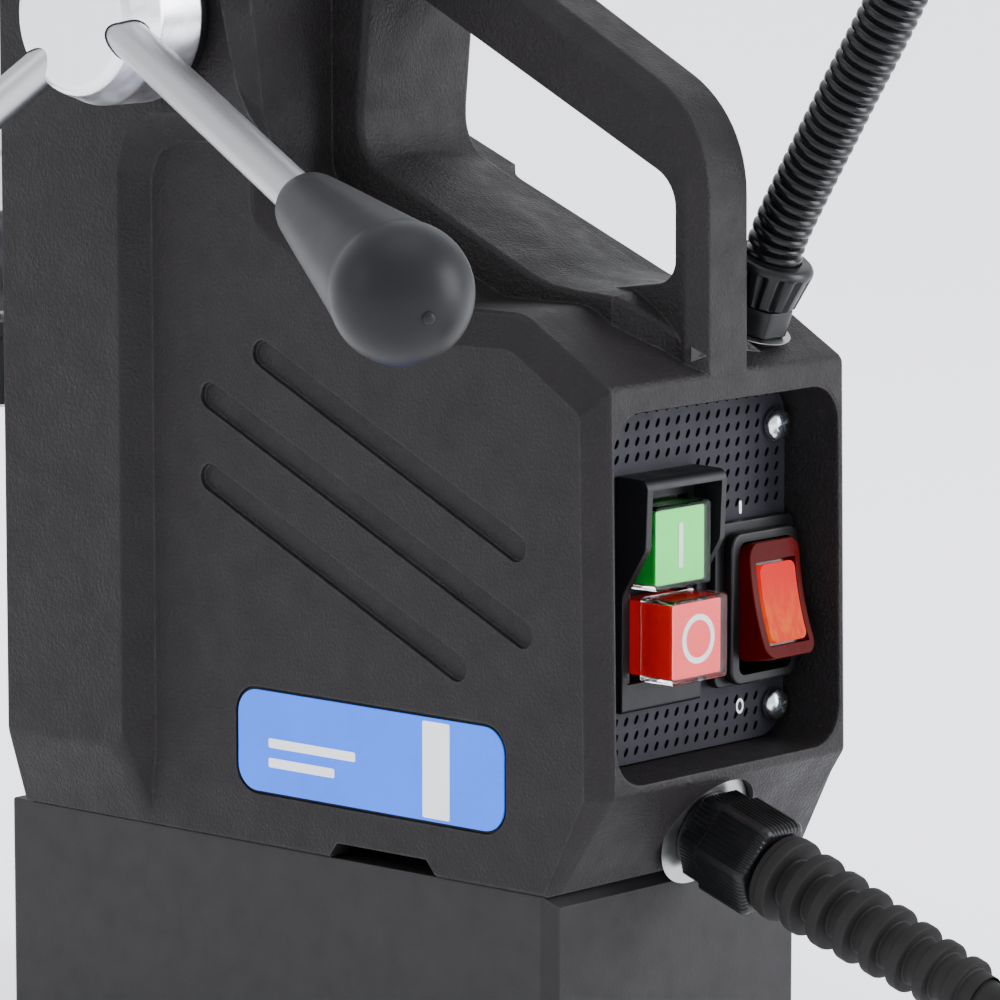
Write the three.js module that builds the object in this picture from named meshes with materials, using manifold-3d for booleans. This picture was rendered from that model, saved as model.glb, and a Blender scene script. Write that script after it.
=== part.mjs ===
// A magnetic drill press: an electromagnet base, a cast housing with a carrying handle, a feed carriage on a
// dovetail with a geared motor and an arbor spindle, a three-lever feed hub, a control panel and its leads.
// Millimetres. Origin: centre of the magnet's underside. +Z up, +X to the control panel, -Y to the feed hub.
import * as THREE from "three";
import { mergeVertices } from "three/addons/utils/BufferGeometryUtils.js";
import Module from "manifold-3d";

const wasm = await Module();
wasm.setup();

// ---------------------------------------------------------------- driving dimensions
const GAP = 0.3;                    // between two pieces that touch
const MAGNET = { length: 160, width: 80, height: 48, chamfer: 2.5, slot: 14, pole: [96, 30], slotTop: 36 };
const BODY = {
  half: 41.4,                       // half width of the housing's side faces
  cheek: 46.5,                      // half width of the proud column cheeks
  foot: MAGNET.height + GAP,
  front: -72,
  columnRear: -2,
  top: 262,
  rearLow: [94.2, 69.6],            // lower edge of the rear face (x, z)
  rearHigh: [92.9, 152.5],          // upper edge of the rear face
  shelf: [47, 71, 166],             // the flat top shelf: x from, x to, z
  slope: 0.4165,                    // fall of the sloping top per millimetre
  bevel: [4, 6.5],                  // side bevel of the top: depth in y, height in z
  corner: 4,                        // chamfer of the upright rear corners
};
const HANDLE = { half: 9.5, chamfer: 3 };
const PANEL = { half: 35.5, low: 71.5, high: 146.8, radius: 8, floor: 77.2, plate: 1.5 };
const FEED = { x: -26, z: 223, module: 1.5, teeth: 14, journal: 8, stroke: 110 };
const HUB = { back: -49.8, front: -70, radius: 18.8, nose: 15.5 };
const LEVER = { y: -60.2, rake: 24.7, drop: 15.2, start: 12, rod: 4.2, grip: 120.5, end: 185.4, ball: 13.5 };
const SLIDE = { low: 170, high: 345, plateFront: -79, plateBack: -72.7, half: 28, dovetailBack: -58 };
const TOOL = { x: -132, arborLow: 128, arbor: 19, socket: 9.55, neck: 24, neckLow: 150 };
const GEARBOX = { low: 175, high: 235, floor: 7, wall: 5, backWall: 1.6, front: 34, rear: 25 };
const MOTOR = { radius: 38, wall: 4, low: 243.3, high: 345, capTop: 398 };
const GEAR = { angle: 25, fine: 0.8, coarse: 1.25, armature: 10, wheel: 40, small: 12, spindle: 42 };
const MIDDLE_X = TOOL.x + (GEAR.coarse * (GEAR.small + GEAR.spindle)) / 2;
const MOTOR_X = MIDDLE_X - (GEAR.fine * (GEAR.armature + GEAR.wheel)) / 2;
const SWITCH = { y: -6.9, half: 12.6, low: 83, high: 132, flange: 81.2, hood: 88, cap: 8.75 };
const ROCKER = { y: 22.6, z: 101, x: 80, half: 9.8, tilt: 12.5 };
const LEAD = {
  diameter: 9, coilX: 274, coilInner: 37.5, coilOuter: 64.5, coilHeight: 26.5, plugX: 44, plugY: -25,
};
const CONDUIT = { radius: 6.1 };

const V = (x, y, z) => new THREE.Vector3(x, y, z);
const degrees = THREE.MathUtils.degToRad;

// ---------------------------------------------------------------- shape helpers
// Turns the faces of a closed geometry outwards if its signed volume is negative.
function facingOut(geometry) {
  const g = geometry.clone();
  g.deleteAttribute("normal");
  g.deleteAttribute("uv");
  const merged = mergeVertices(g, 1e-4);
  const p = merged.getAttribute("position");
  const index = merged.index.array;
  const a = V(), b = V(), c = V();
  let volume = 0;
  for (let i = 0; i < index.length; i += 3) {
    a.fromBufferAttribute(p, index[i]);
    b.fromBufferAttribute(p, index[i + 1]);
    c.fromBufferAttribute(p, index[i + 2]);
    volume += a.dot(b.cross(c));
  }
  if (volume < 0) {
    for (let i = 0; i < index.length; i += 3) {
      [index[i + 1], index[i + 2]] = [index[i + 2], index[i + 1]];
    }
  }
  return merged;
}

function solid(geometry) {
  const g = facingOut(geometry);
  const vertProperties = new Float32Array(g.getAttribute("position").array);
  const triVerts = new Uint32Array(g.index.array);
  return new wasm.Manifold(new wasm.Mesh({ numProp: 3, vertProperties, triVerts }));
}

function geometryOf(manifold) {
  const made = manifold.getMesh();
  const g = new THREE.BufferGeometry();
  g.setAttribute("position", new THREE.BufferAttribute(new Float32Array(made.vertProperties), 3));
  g.setIndex(new THREE.BufferAttribute(new Uint32Array(made.triVerts), 1));
  const flat = g.toNonIndexed();
  flat.computeVertexNormals();
  return flat;
}

const union = (...solids) => solids.reduce((a, b) => a.add(b));
const without = (base, ...cuts) => cuts.reduce((a, b) => a.subtract(b), base);

function box(x0, x1, y0, y1, z0, z1) {
  const g = new THREE.BoxGeometry(x1 - x0, y1 - y0, z1 - z0);
  g.translate((x0 + x1) / 2, (y0 + y1) / 2, (z0 + z1) / 2);
  return solid(g);
}

// A flat outline pushed along an axis: "x" takes (y, z) points, "y" takes (x, z), "z" takes (x, y).
const BASIS = {
  x: [V(0, 1, 0), V(0, 0, 1), V(1, 0, 0)],
  y: [V(1, 0, 0), V(0, 0, 1), V(0, -1, 0)],
  z: [V(1, 0, 0), V(0, 1, 0), V(0, 0, 1)],
};
const shapeOf = (points) => new THREE.Shape(points.map(([u, v]) => new THREE.Vector2(u, v)));
function prism(axis, outline, from, to, options = {}) {
  const shape = outline instanceof THREE.Shape ? outline : shapeOf(outline);
  const edge = options.chamfer ?? 0;
  const g = new THREE.ExtrudeGeometry(shape, {
    depth: to - from - 2 * edge,
    curveSegments: options.segments ?? 6,
    bevelEnabled: edge > 0,
    bevelThickness: edge,
    bevelSize: edge,
    bevelOffset: -edge,
    bevelSegments: 1,
  });
  g.translate(0, 0, edge);
  g.applyMatrix4(new THREE.Matrix4().makeBasis(...BASIS[axis]));
  const shift = axis === "y" ? to : from;
  g.translate(axis === "x" ? shift : 0, axis === "y" ? shift : 0, axis === "z" ? shift : 0);
  return solid(g);
}

// A closed skin over sections that have the same number of points.
function loft(sections) {
  const count = sections[0].length;
  const positions = sections.flat().flatMap((p) => [p.x, p.y, p.z]);
  const index = [];
  for (let s = 0; s + 1 < sections.length; s += 1) {
    for (let i = 0; i < count; i += 1) {
      const a = s * count + i;
      const b = s * count + ((i + 1) % count);
      index.push(a, b, b + count, a, b + count, a + count);
    }
  }
  const last = (sections.length - 1) * count;
  const flat = sections[0].map((p) => p.clone());
  const caps = THREE.ShapeUtils.triangulateShape(projected(flat), []);
  for (const [a, b, c] of caps) {
    index.push(a, c, b, last + a, last + b, last + c);
  }
  const g = new THREE.BufferGeometry();
  g.setAttribute("position", new THREE.Float32BufferAttribute(positions, 3));
  g.setIndex(index);
  return solid(g);
}

// The section's points seen along its own normal.
function projected(points) {
  const normal = V(0, 0, 0);
  points.forEach((p, i) => normal.add(p.clone().cross(points[(i + 1) % points.length])));
  normal.normalize();
  const u = points[1].clone().sub(points[0]).normalize();
  const v = normal.clone().cross(u);
  return points.map((p) => new THREE.Vector2(p.dot(u), p.dot(v)));
}

// Turns a geometry made round +Y so that +Y runs from start towards direction.
function placed(geometry, start, direction) {
  const turn = new THREE.Quaternion().setFromUnitVectors(V(0, 1, 0), direction.clone().normalize());
  geometry.applyQuaternion(turn);
  geometry.translate(start.x, start.y, start.z);
  return geometry;
}

function rod(radius, start, direction, length, segments = 24, endRadius = radius) {
  const g = new THREE.CylinderGeometry(endRadius, radius, length, segments);
  g.translate(0, length / 2, 0);
  return solid(placed(g, start, direction));
}

const upright = (radius, x, y, z0, z1, segments) => rod(radius, V(x, y, z0), V(0, 0, 1), z1 - z0, segments);

// A turned piece: profile points are (radius, distance along the axis), closed on the axis or on itself.
function turned(profile, start, direction, segments = 24) {
  const g = new THREE.LatheGeometry(profile.map(([r, h]) => new THREE.Vector2(r, h)), segments);
  return solid(placed(g, start, direction));
}

function ring(inner, outer, start, direction, length, segments = 24) {
  const profile = [[inner, 0], [outer, 0], [outer, length], [inner, length], [inner, 0]];
  return turned(profile, start, direction, segments);
}

function roundedRectangle(u0, u1, v0, v1, radius) {
  const s = new THREE.Shape();
  s.moveTo(u0 + radius, v0);
  s.lineTo(u1 - radius, v0);
  s.absarc(u1 - radius, v0 + radius, radius, -Math.PI / 2, 0);
  s.lineTo(u1, v1 - radius);
  s.absarc(u1 - radius, v1 - radius, radius, 0, Math.PI / 2);
  s.lineTo(u0 + radius, v1);
  s.absarc(u0 + radius, v1 - radius, radius, Math.PI / 2, Math.PI);
  s.lineTo(u0, v0 + radius);
  s.absarc(u0 + radius, v0 + radius, radius, Math.PI, 1.5 * Math.PI);
  return s;
}

// A slot outline with round ends between two points.
function capsule([u0, v0], [u1, v1], radius) {
  const heading = Math.atan2(v1 - v0, u1 - u0);
  const s = new THREE.Shape();
  s.absarc(u1, v1, radius, heading - Math.PI / 2, heading + Math.PI / 2);
  s.absarc(u0, v0, radius, heading + Math.PI / 2, heading + 1.5 * Math.PI);
  return s;
}

const bothSides = (make) => [make(-1), make(1)];

// ---------------------------------------------------------------- gears
// Stub involute teeth: the outline of a spur gear with a tooth space centred on angle 0 when spaced is true.
// A wheel of more than "straight" teeth has straight flanks.
const STUB = { addendum: 0.8, dedendum: 1.05, play: 0.12, straight: 20 };
function gearOutline(module, teeth, spaced = false) {
  const pitch = (module * teeth) / 2;
  const tip = pitch + STUB.addendum * module;
  const root = pitch - STUB.dedendum * module;
  const base = pitch * Math.cos(degrees(GEAR.angle));
  const involute = (r) => {
    const t = Math.sqrt(Math.max((r / base) ** 2 - 1, 0));
    return t - Math.atan(t);
  };
  const halfTooth = Math.PI / (2 * teeth) - STUB.play / pitch;
  const radii = teeth > STUB.straight ? [root, tip] : [root, (root + 2 * tip) / 3, tip];
  const points = [];
  for (let k = 0; k < teeth; k += 1) {
    const middle = ((k + (spaced ? 0.5 : 0)) * 2 * Math.PI) / teeth;
    const half = radii.map((r) => halfTooth + involute(pitch) - involute(Math.max(r, base)));
    radii.forEach((r, i) => points.push([r, middle - half[i]]));
    [...radii].reverse().forEach((r, i) => points.push([r, middle + half[radii.length - 1 - i]]));
  }
  return points.map(([r, a]) => [r * Math.cos(a), r * Math.sin(a)]);
}

function spurGear(module, teeth, x, z0, z1, spaced) {
  const outline = gearOutline(module, teeth, spaced).map(([u, v]) => [u + x, v]);
  return prism("z", outline, z0, z1);
}

// ---------------------------------------------------------------- base
function magnetBase() {
  const { length, width, height, chamfer: c, slot, pole, slotTop } = MAGNET;
  const [hx, hy] = [length / 2, width / 2];
  const plan = [
    [-hx + c, -hy], [hx - c, -hy], [hx, -hy + c], [hx, hy - c],
    [hx - c, hy], [-hx + c, hy], [-hx, hy - c], [-hx, -hy + c],
  ];
  const block = prism("z", plan, 0, height);
  const edges = [-1, 1].map((s) =>
    prism("y", [[s * hx, height - c], [s * (hx + 1), height - c], [s * (hx + 1), height + 1],
      [s * (hx - c), height + 1], [s * (hx - c), height]], -hy - 1, hy + 1));
  const trench = coilShape(pole[0] / 2, pole[1] / 2, slot, -1, slotTop);
  const leadHole = upright(4, pole[0] / 2 + slot / 2, 0, slotTop - 1, height + 1, 12);
  return without(block, ...edges, trench, leadHole);
}

// A rectangular ring with rounded outer corners, round the magnet's middle pole.
function coilShape(halfX, halfY, width, z0, z1) {
  const outer = roundedRectangle(-halfX - width, halfX + width, -halfY - width, halfY + width, 8);
  outer.holes.push(new THREE.Path(roundedRectangle(-halfX, halfX, -halfY, halfY, 3).getPoints(2)));
  return prism("z", outer, z0, z1, { segments: 2 });
}

function magnetCoil() {
  const { pole, slot, slotTop } = MAGNET;
  return coilShape(pole[0] / 2 + 1, pole[1] / 2 + 1, slot - 2, 8, slotTop - 2);
}

function coilPotting() {
  const { pole, slot } = MAGNET;
  return coilShape(pole[0] / 2 + GAP, pole[1] / 2 + GAP, slot - 2 * GAP, 0.5, 7.5);
}

// ---------------------------------------------------------------- housing
const GROOVES = [
  [[0.8, 152.6], [71.5, 119]],
  [[-14.5, 142.5], [73.4, 101.5]],
  [[-14.7, 125.2], [55.4, 92.6]],
];
const GROOVE = { radius: 2.9, depth: 1.2 };
const BADGE = { x0: -7.6, x1: 69, z0: 59.1, z1: 82, radius: 6, depth: 1, thickness: 0.6 };
const STRAP_SLOT = [[19.9, 40], [19.9, BODY.foot], [21.8, 51.6], [47, 51.6], [49.4, BODY.foot], [49.4, 40]];
// Finger opening of the handle, seen from the side (x, z), anticlockwise from its front low corner.
const FINGER_HOLE = [
  [3, 187], [56, 166.5], [68, 168.8], [76, 170.6], [83.5, 172.2], [86.2, 174.6],
  [86.2, 187.2], [84.2, 191.2], [80, 194.4], [3, 232.6],
];
// The pilaster that closes the opening at the column, seen from the side (x, z).
const PILASTER = [
  [-4, 186], [18, 184], [16, 188.2], [10.2, 191.6], [6.9, 195.4], [6, 201], [8, 212], [9, 232], [-4, 246],
];
// Relief in the far side of the column round the shaft's end, seen from above (x, y).
const RELIEF = [[-44, 60], [-44, 38], [-39.5, 33.2], [-12.5, 33.2], [-2, 22.6], [6, 22.6], [6, 60]];
const HANDLE_OUTER = [
  [-10, 170], [60, 150], [91, 140], [92.9, BODY.rearHigh[1]],
  [92.3, 190], [88.6, 202.5], [81, 211], [-10, 259.2],
];
// Outline of the proud cheek on the side face, and of its flat top 5 mm further out.
const CHEEK_FOOT = [
  [-72, 48.4], [-33.1, 48.4], [-31.5, 66], [-31.5, 188], [-28.5, 193.2],
  [-23, 195.6], [-2, 196.6], [-2, 262], [-72, 262],
];
const CHEEK_TOP = [
  [-72, 65], [-36, 65], [-36.5, 66.5], [-36.5, 189.5], [-33, 197.5],
  [-27, 201.6], [-6, 202.6], [-6, 258], [-72, 258],
];
const GLAND = { at: V(85.6, 1.5, 57), way: V(0.9455, 0, -0.3256), hole: 8.2, spot: 14 };
const OUTLET = { at: V(82.2, 20, 159.1), way: V(0.345, 0, 0.9386), hole: 6, spot: 9.8 };
const SCREWS = [[-31.2, 78.3], [31.2, 78.3], [-31.2, 137.8], [31.2, 137.8]];
const GIB_SCREWS = [110, 200];

function topHeight(x) {
  const [flatFrom, flatTo, z] = BODY.shelf;
  const fall = (z - BODY.rearHigh[1]) / (BODY.rearHigh[0] - flatTo);
  if (x < flatFrom) return z + BODY.slope * (flatFrom - x);
  return x <= flatTo ? z : z - fall * (x - flatTo);
}

function bodyBlock() {
  const [flatFrom, flatTo] = BODY.shelf;
  const side = [
    [BODY.front, BODY.foot], [MAGNET.length / 2, BODY.foot], BODY.rearLow, BODY.rearHigh,
    [flatTo, topHeight(flatTo)], [flatFrom, topHeight(flatFrom)],
    [BODY.columnRear, topHeight(BODY.columnRear)], [BODY.columnRear, BODY.top], [BODY.front, BODY.top],
  ];
  return prism("y", side, -BODY.half, BODY.half);
}

// The wedge that bevels the long top edge on side s, following the top line.
function topBevel(s) {
  const [depth, height] = BODY.bevel;
  const [flatFrom, flatTo] = BODY.shelf;
  const stations = [[BODY.columnRear, height], [flatFrom, height], [flatTo, height], [100, 3]];
  return loft(stations.map(([x, h]) => {
    const z = topHeight(x);
    return [
      V(x, s * (BODY.half - 1.5 * depth), z + 0.5 * h),
      V(x, s * (BODY.half + 0.5 * depth), z - 1.5 * h),
      V(x, s * (BODY.half + 0.5 * depth), z + 0.5 * h),
    ];
  }));
}

// The wedge that chamfers an upright rear corner; it runs out to nothing at the foot.
function cornerChamfer(s) {
  const [lowX, lowZ] = BODY.rearLow;
  const lean = (lowX - BODY.rearHigh[0]) / (BODY.rearHigh[1] - lowZ);
  const stations = [
    [MAGNET.length / 2, BODY.foot, 0.01],
    [lowX, lowZ, BODY.corner],
    [lowX - lean * 110, lowZ + 110, BODY.corner],
  ];
  return loft(stations.map(([x, z, c]) => [
    V(x - c - 4, s * (BODY.half + 4), z),
    V(x + 4, s * (BODY.half - c - 4), z),
    V(x + 4, s * (BODY.half + 4), z),
  ]));
}

function cheek(s) {
  const level = (points, y) => points.map(([x, z]) => V(x, s * y, z));
  const foot = [BODY.half - 1, BODY.half].map((y) => level(CHEEK_FOOT, y));
  return loft([...foot, level(CHEEK_TOP, BODY.cheek)]);
}

// The raised web under the handle: a nearly flat crown with upright flanks.
function handleRidge() {
  const stations = [
    [BODY.columnRear - 1, 17, 196.9, 197.7], [56, 17, 169.8, 170.6], [76, 17, 168.2, 169],
    [84, 13.5, 163, 167.5], [92.7, 11, 156.5, 158],
  ];
  return loft(stations.map(([x, half, edge, crown]) => [
    V(x, -half, edge), V(x, -half, edge - 14), V(x, half, edge - 14), V(x, half, edge),
    V(x, HANDLE.half, crown), V(x, -HANDLE.half, crown),
  ]));
}

function handle() {
  const shape = shapeOf(HANDLE_OUTER);
  shape.holes.push(new THREE.Path(FINGER_HOLE.map(([u, v]) => new THREE.Vector2(u, v))));
  return prism("y", shape, -HANDLE.half, HANDLE.half, { chamfer: HANDLE.chamfer });
}

// Its floor follows the sloping top.
function farRelief() {
  const level = (z) => RELIEF.map(([x, y]) => V(x, y, z(x)));
  return loft([level((x) => BODY.shelf[2] + BODY.slope * (BODY.shelf[0] - x)), level(() => BODY.top + 8)]);
}

function slideSlots() {
  const female = [
    [BODY.front - 1, -21.4], [BODY.front, -22], [-57.5, -30.4],
    [-57.5, 30.4], [BODY.front, 22], [BODY.front - 1, 21.4],
  ];
  return [
    prism("z", female, BODY.foot - 2, BODY.top + 1),
    box(-58, -33.5, -11, 11, BODY.foot - 2, BODY.top + 1),
  ];
}

function electronicsBay() {
  const side = [[-22, 40], [72, 40], [73, 75], [73, 144], [60, 157], [45, 158], [-22, 172]];
  return prism("y", side, -35.5, 35.5);
}

function housing() {
  const pilaster = prism("y", PILASTER, -17, 17);
  const shell = union(bodyBlock(), ...bothSides(cheek), handle(), handleRidge(), pilaster);
  const panel = roundedRectangle(-PANEL.half, PANEL.half, PANEL.low, PANEL.high, PANEL.radius);
  const sideCuts = (s) => {
    const face = s * BODY.half;
    const span = (depth) => [Math.min(face + s, face - s * depth), Math.max(face + s, face - s * depth)];
    const grooves = GROOVES.map(([from, to]) => capsule(from, to, GROOVE.radius));
    return [
      ...grooves.map((shape) => prism("y", shape, ...span(GROOVE.depth), { segments: 3 })),
      prism("y", badgeShape(0), ...span(BADGE.depth), { segments: 2 }),
    ];
  };
  return without(
    shell,
    ...bothSides(topBevel),
    ...bothSides(cornerChamfer),
    ...slideSlots(),
    electronicsBay(),
    prism("x", panel, PANEL.floor, 110, { segments: 3 }),
    box(60, PANEL.floor + 1, -33, 33, 81.4, 135),
    prism("y", STRAP_SLOT, -60, 60),
    farRelief(),
    ...sideCuts(-1),
    ...sideCuts(1),
    rod(FEED.journal + 5.3, V(FEED.x, -60, FEED.z), V(0, 1, 0), 120, 24),
    rod(GLAND.spot, GLAND.at, GLAND.way, 20, 24),
    rod(GLAND.hole, GLAND.at.clone().addScaledVector(GLAND.way, -16), GLAND.way, 20, 14),
    rod(OUTLET.spot, OUTLET.at, OUTLET.way, 16, 20),
    rod(OUTLET.hole, OUTLET.at.clone().addScaledVector(OUTLET.way, -20), OUTLET.way, 22, 12),
    ...SCREWS.map(([y, z]) => rod(2.2, V(66, y, z), V(1, 0, 0), 14, 10)),
    ...GIB_SCREWS.map((z) => rod(2.7, V(-65, 20, z), V(0, 1, 0), 30, 10)),
  );
}

function badgeShape(inset) {
  const { x0, x1, z0, z1, radius } = BADGE;
  return roundedRectangle(x0 + inset, x1 - inset, z0 + inset, z1 - inset, radius - inset);
}

function badge(s) {
  const inner = s * (BODY.half - BADGE.depth + GAP);
  const outer = inner + s * BADGE.thickness;
  return prism("y", badgeShape(0.6), Math.min(inner, outer), Math.max(inner, outer), { segments: 2 });
}

// ---------------------------------------------------------------- feed
function gibStrip() {
  const plan = [[-71.4, 18.75], [-58, 26.4], [-58, 29.7], [-71.4, 21.95]];
  return prism("z", plan, BODY.foot + 2, BODY.top - 2);
}

const gibScrew = (z) => rod(2.4, V(-65, 27.6, z), V(0, 1, 0), 17.6, 10);

function bush(s) {
  const [from, to] = s < 0 ? [-46.2, -11] : [11, 32.9];
  return ring(FEED.journal + 0.1, FEED.journal + 5, V(FEED.x, from, FEED.z), V(0, 1, 0), to - from);
}

function feedShaft() {
  const teeth = gearOutline(FEED.module, FEED.teeth, true).map(([u, v]) => [FEED.x - u, FEED.z + v]);
  const pinion = prism("y", teeth, -8.5, 8.5);
  const journal = rod(FEED.journal, V(FEED.x, -63.5, FEED.z), V(0, 1, 0), 63.5 + 32.4, 32);
  return union(pinion, journal);
}

function carriageSlide() {
  const { plateFront, plateBack, half, dovetailBack } = SLIDE;
  const plan = [
    [plateFront, -half], [plateBack, -half], [plateBack, -21.3], [dovetailBack, -29.7],
    [dovetailBack, 25.9], [plateBack, 17.5], [plateBack, half], [plateFront, half],
  ];
  return prism("z", plan, SLIDE.low, SLIDE.high);
}

function feedRack() {
  const { module, teeth, x, z } = FEED;
  const pitchX = x - (module * teeth) / 2;
  const step = Math.PI * module;
  const tan = Math.tan(degrees(GEAR.angle));
  const half = step / 4 - STUB.play / 2;
  const rootX = pitchX - STUB.dedendum * module;
  const tipX = pitchX + STUB.addendum * module;
  const rootHalf = half + (pitchX - rootX) * tan;
  const tipHalf = half - (tipX - pitchX) * tan;
  const outline = [[SLIDE.dovetailBack + GAP, z - step], [rootX, z - step]];
  const toothCount = 1 + Math.ceil(FEED.stroke / step);
  for (let k = 0; k <= toothCount; k += 1) {
    const middle = z + k * step;
    outline.push([rootX, middle - rootHalf], [tipX, middle - tipHalf]);
    outline.push([tipX, middle + tipHalf], [rootX, middle + rootHalf]);
  }
  const top = z + (toothCount + 1) * step;
  outline.push([rootX, top], [SLIDE.dovetailBack + GAP, top]);
  return prism("y", outline, -7.5, 7.5);
}

function feedHub() {
  const { back, front, radius, nose } = HUB;
  const bore = FEED.journal + GAP;
  const depth = back - front;
  const profile = [
    [bore, 0], [radius, 0], [radius, depth * 0.62], [nose, depth],
    [0, depth], [0, depth - 5.8], [bore, depth - 5.8], [bore, 0],
  ];
  const blank = turned(profile, V(FEED.x, back, FEED.z), V(0, -1, 0), 28);
  const sockets = [0, 1, 2].map((k) => leverRod(k, LEVER.rod + GAP, LEVER.start - 0.5));
  return without(blank, ...sockets);
}

const hubRing = () => ring(10.5, 17.2, V(FEED.x, -49.5, FEED.z), V(0, 1, 0), 2.6, 24);

// The line of lever k: from a point on the hub's axis outwards, raked away from the housing.
function leverLine(k) {
  const turn = degrees(-LEVER.drop + 120 * k);
  const rake = degrees(LEVER.rake);
  const way = V(Math.cos(turn) * Math.cos(rake), -Math.sin(rake), Math.sin(turn) * Math.cos(rake));
  return { from: V(FEED.x, LEVER.y, FEED.z), way };
}

function leverRod(k, radius = LEVER.rod, start = LEVER.start) {
  const { from, way } = leverLine(k);
  return rod(radius, from.clone().addScaledVector(way, start), way, LEVER.grip + 12 - start, 14);
}

function leverKnob(k) {
  const { from, way } = leverLine(k);
  const length = LEVER.end - LEVER.grip;
  const ball = LEVER.ball;
  const bore = LEVER.rod + GAP;
  const profile = [
    [bore, 14], [bore, 0], [5.6, 0], [7.2, 3.6], [10.4, length * 0.45], [11.7, length * 0.61],
  ];
  for (let i = -1; i < 4; i += 1) {
    const a = degrees(22.5 * i);
    profile.push([ball * Math.cos(a), length - ball + ball * Math.sin(a)]);
  }
  profile.push([0, length]);
  profile.push([0, 14]);
  profile.push([bore, 14]);
  return turned(profile, from.clone().addScaledVector(way, LEVER.grip), way, 18);
}

// ---------------------------------------------------------------- gearbox, spindle and motor
function gearboxPlan(grow) {
  const { front, rear, backWall } = GEARBOX;
  const back = SLIDE.plateFront - GAP - (grow < 0 ? backWall : 0);
  const s = new THREE.Shape();
  s.absarc(TOOL.x, 0, front + grow, Math.PI / 2, 1.5 * Math.PI);
  s.lineTo(MIDDLE_X, -rear - grow);
  s.lineTo(back, -rear - grow);
  s.lineTo(back, rear + grow);
  s.lineTo(MIDDLE_X, rear + grow);
  return s;
}

function gearboxHousing() {
  const { low, high, floor, wall } = GEARBOX;
  const outer = prism("z", gearboxPlan(0), low, high, { segments: 7 });
  const room = prism("z", gearboxPlan(-wall), low + floor, high + 1, { segments: 7 });
  const neck = upright(TOOL.neck, TOOL.x, 0, TOOL.neckLow, low + 1, 24);
  return without(
    union(outer, neck),
    room,
    upright(17, TOOL.x, 0, TOOL.neckLow + 3, low + floor + 1, 24),
    upright(12, TOOL.x, 0, TOOL.neckLow - 1, TOOL.neckLow + 4, 20),
    upright(4.15, MIDDLE_X, 0, low + 2.5, low + floor + 1, 16),
  );
}

function gearboxCover() {
  const { high } = GEARBOX;
  const plate = prism("z", gearboxPlan(0), high + GAP, MOTOR.low - GAP, { segments: 7 });
  const spigot = upright(MOTOR.radius - 8, MOTOR_X, 0, high + GAP, MOTOR.low + 1.5, 24);
  return without(
    union(plate, spigot),
    upright(8, MOTOR_X, 0, high - 1, MOTOR.low + 3, 20),
    upright(4.15, MIDDLE_X, 0, high - 1, high + 5, 16),
  );
}

const bearing = (z) => ring(10.3, 16.7, V(TOOL.x, 0, z), V(0, 0, 1), 10);

function spindle() {
  const { x, arborLow, arbor, socket, neckLow } = TOOL;
  const depth = 50;
  const shoulder = neckLow - arborLow - 2;
  const profile = [
    [socket, 0], [arbor - 1.5, 0], [arbor, 1.5], [arbor, shoulder], [10, shoulder], [10, 69.5],
    [0, 69.5], [0, depth], [socket, depth], [socket, 0],
  ];
  const body = turned(profile, V(x, 0, arborLow), V(0, 0, 1), 24);
  return without(body, rod(4.3, V(x, -5, arborLow + 10), V(0, -1, 0), 20, 10));
}

const arborScrew = () => rod(4, V(TOOL.x, -9.9, TOOL.arborLow + 10), V(0, -1, 0), 8, 8);

function spindleGear() {
  const blank = spurGear(GEAR.coarse, GEAR.spindle, TOOL.x, 186, 197, true);
  return without(blank, upright(10.3, TOOL.x, 0, 180, 200, 20));
}

function intermediateGear() {
  const shaft = upright(4, MIDDLE_X, 0, GEARBOX.low + 3, GEARBOX.high + 4, 12);
  const small = spurGear(GEAR.coarse, GEAR.small, MIDDLE_X, 185, 198.5, false);
  const wheel = spurGear(GEAR.fine, GEAR.wheel, MIDDLE_X, 200.5, 208, true);
  return union(shaft, small, wheel);
}

function armatureShaft() {
  const pinion = spurGear(GEAR.fine, GEAR.armature, MOTOR_X, 200, 209, false);
  const low = upright(3.1, MOTOR_X, 0, 199.5, 216, 12);
  return union(pinion, low, upright(4, MOTOR_X, 0, 212, 388, 12));
}

function armatureCore() {
  const slots = 12;
  const outline = [];
  for (let k = 0; k < slots; k += 1) {
    const at = (2 * Math.PI * k) / slots;
    const step = Math.PI / slots;
    const corners = [[20, -0.72], [20, 0.72], [15, 0.84], [15, 1.16]];
    for (const [r, w] of corners) {
      const a = at + w * step;
      outline.push([MOTOR_X + r * Math.cos(a), r * Math.sin(a)]);
    }
  }
  return without(prism("z", outline, 260, 306), upright(4.3, MOTOR_X, 0, 250, 320, 12));
}

const commutator = () => ring(4.3, 12, V(MOTOR_X, 0, 318), V(0, 0, 1), 18, 18);

function coolingFan() {
  const disc = upright(30, MOTOR_X, 0, 247, 249, 24);
  const blades = Array.from({ length: 9 }, (_, k) => {
    const g = new THREE.BoxGeometry(15, 1.6, 7);
    g.translate(21, 0, 252);
    g.rotateZ((2 * Math.PI * k) / 9);
    g.translate(MOTOR_X, 0, 0);
    return solid(g);
  });
  const boss = upright(9, MOTOR_X, 0, 247, 255, 14);
  return without(union(disc, boss, ...blades), upright(4.3, MOTOR_X, 0, 240, 260, 12));
}

function fieldStator() {
  return ring(20.6, MOTOR.radius - MOTOR.wall - 0.4, V(MOTOR_X, 0, 260), V(0, 0, 1), 46, 24);
}

// Slots cut radially through the motor's wall, on both sides, count to a side.
function ventSlots(count, z0, z1) {
  return [0, 180].flatMap((side) => Array.from({ length: count }, (_, k) => {
    const g = new THREE.BoxGeometry(14, 4, z1 - z0);
    g.translate(MOTOR.radius - 2, 0, (z0 + z1) / 2);
    g.rotateZ(degrees(90 + side + (k - (count - 1) / 2) * 16));
    g.translate(MOTOR_X, 0, 0);
    return solid(g);
  }));
}

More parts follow.
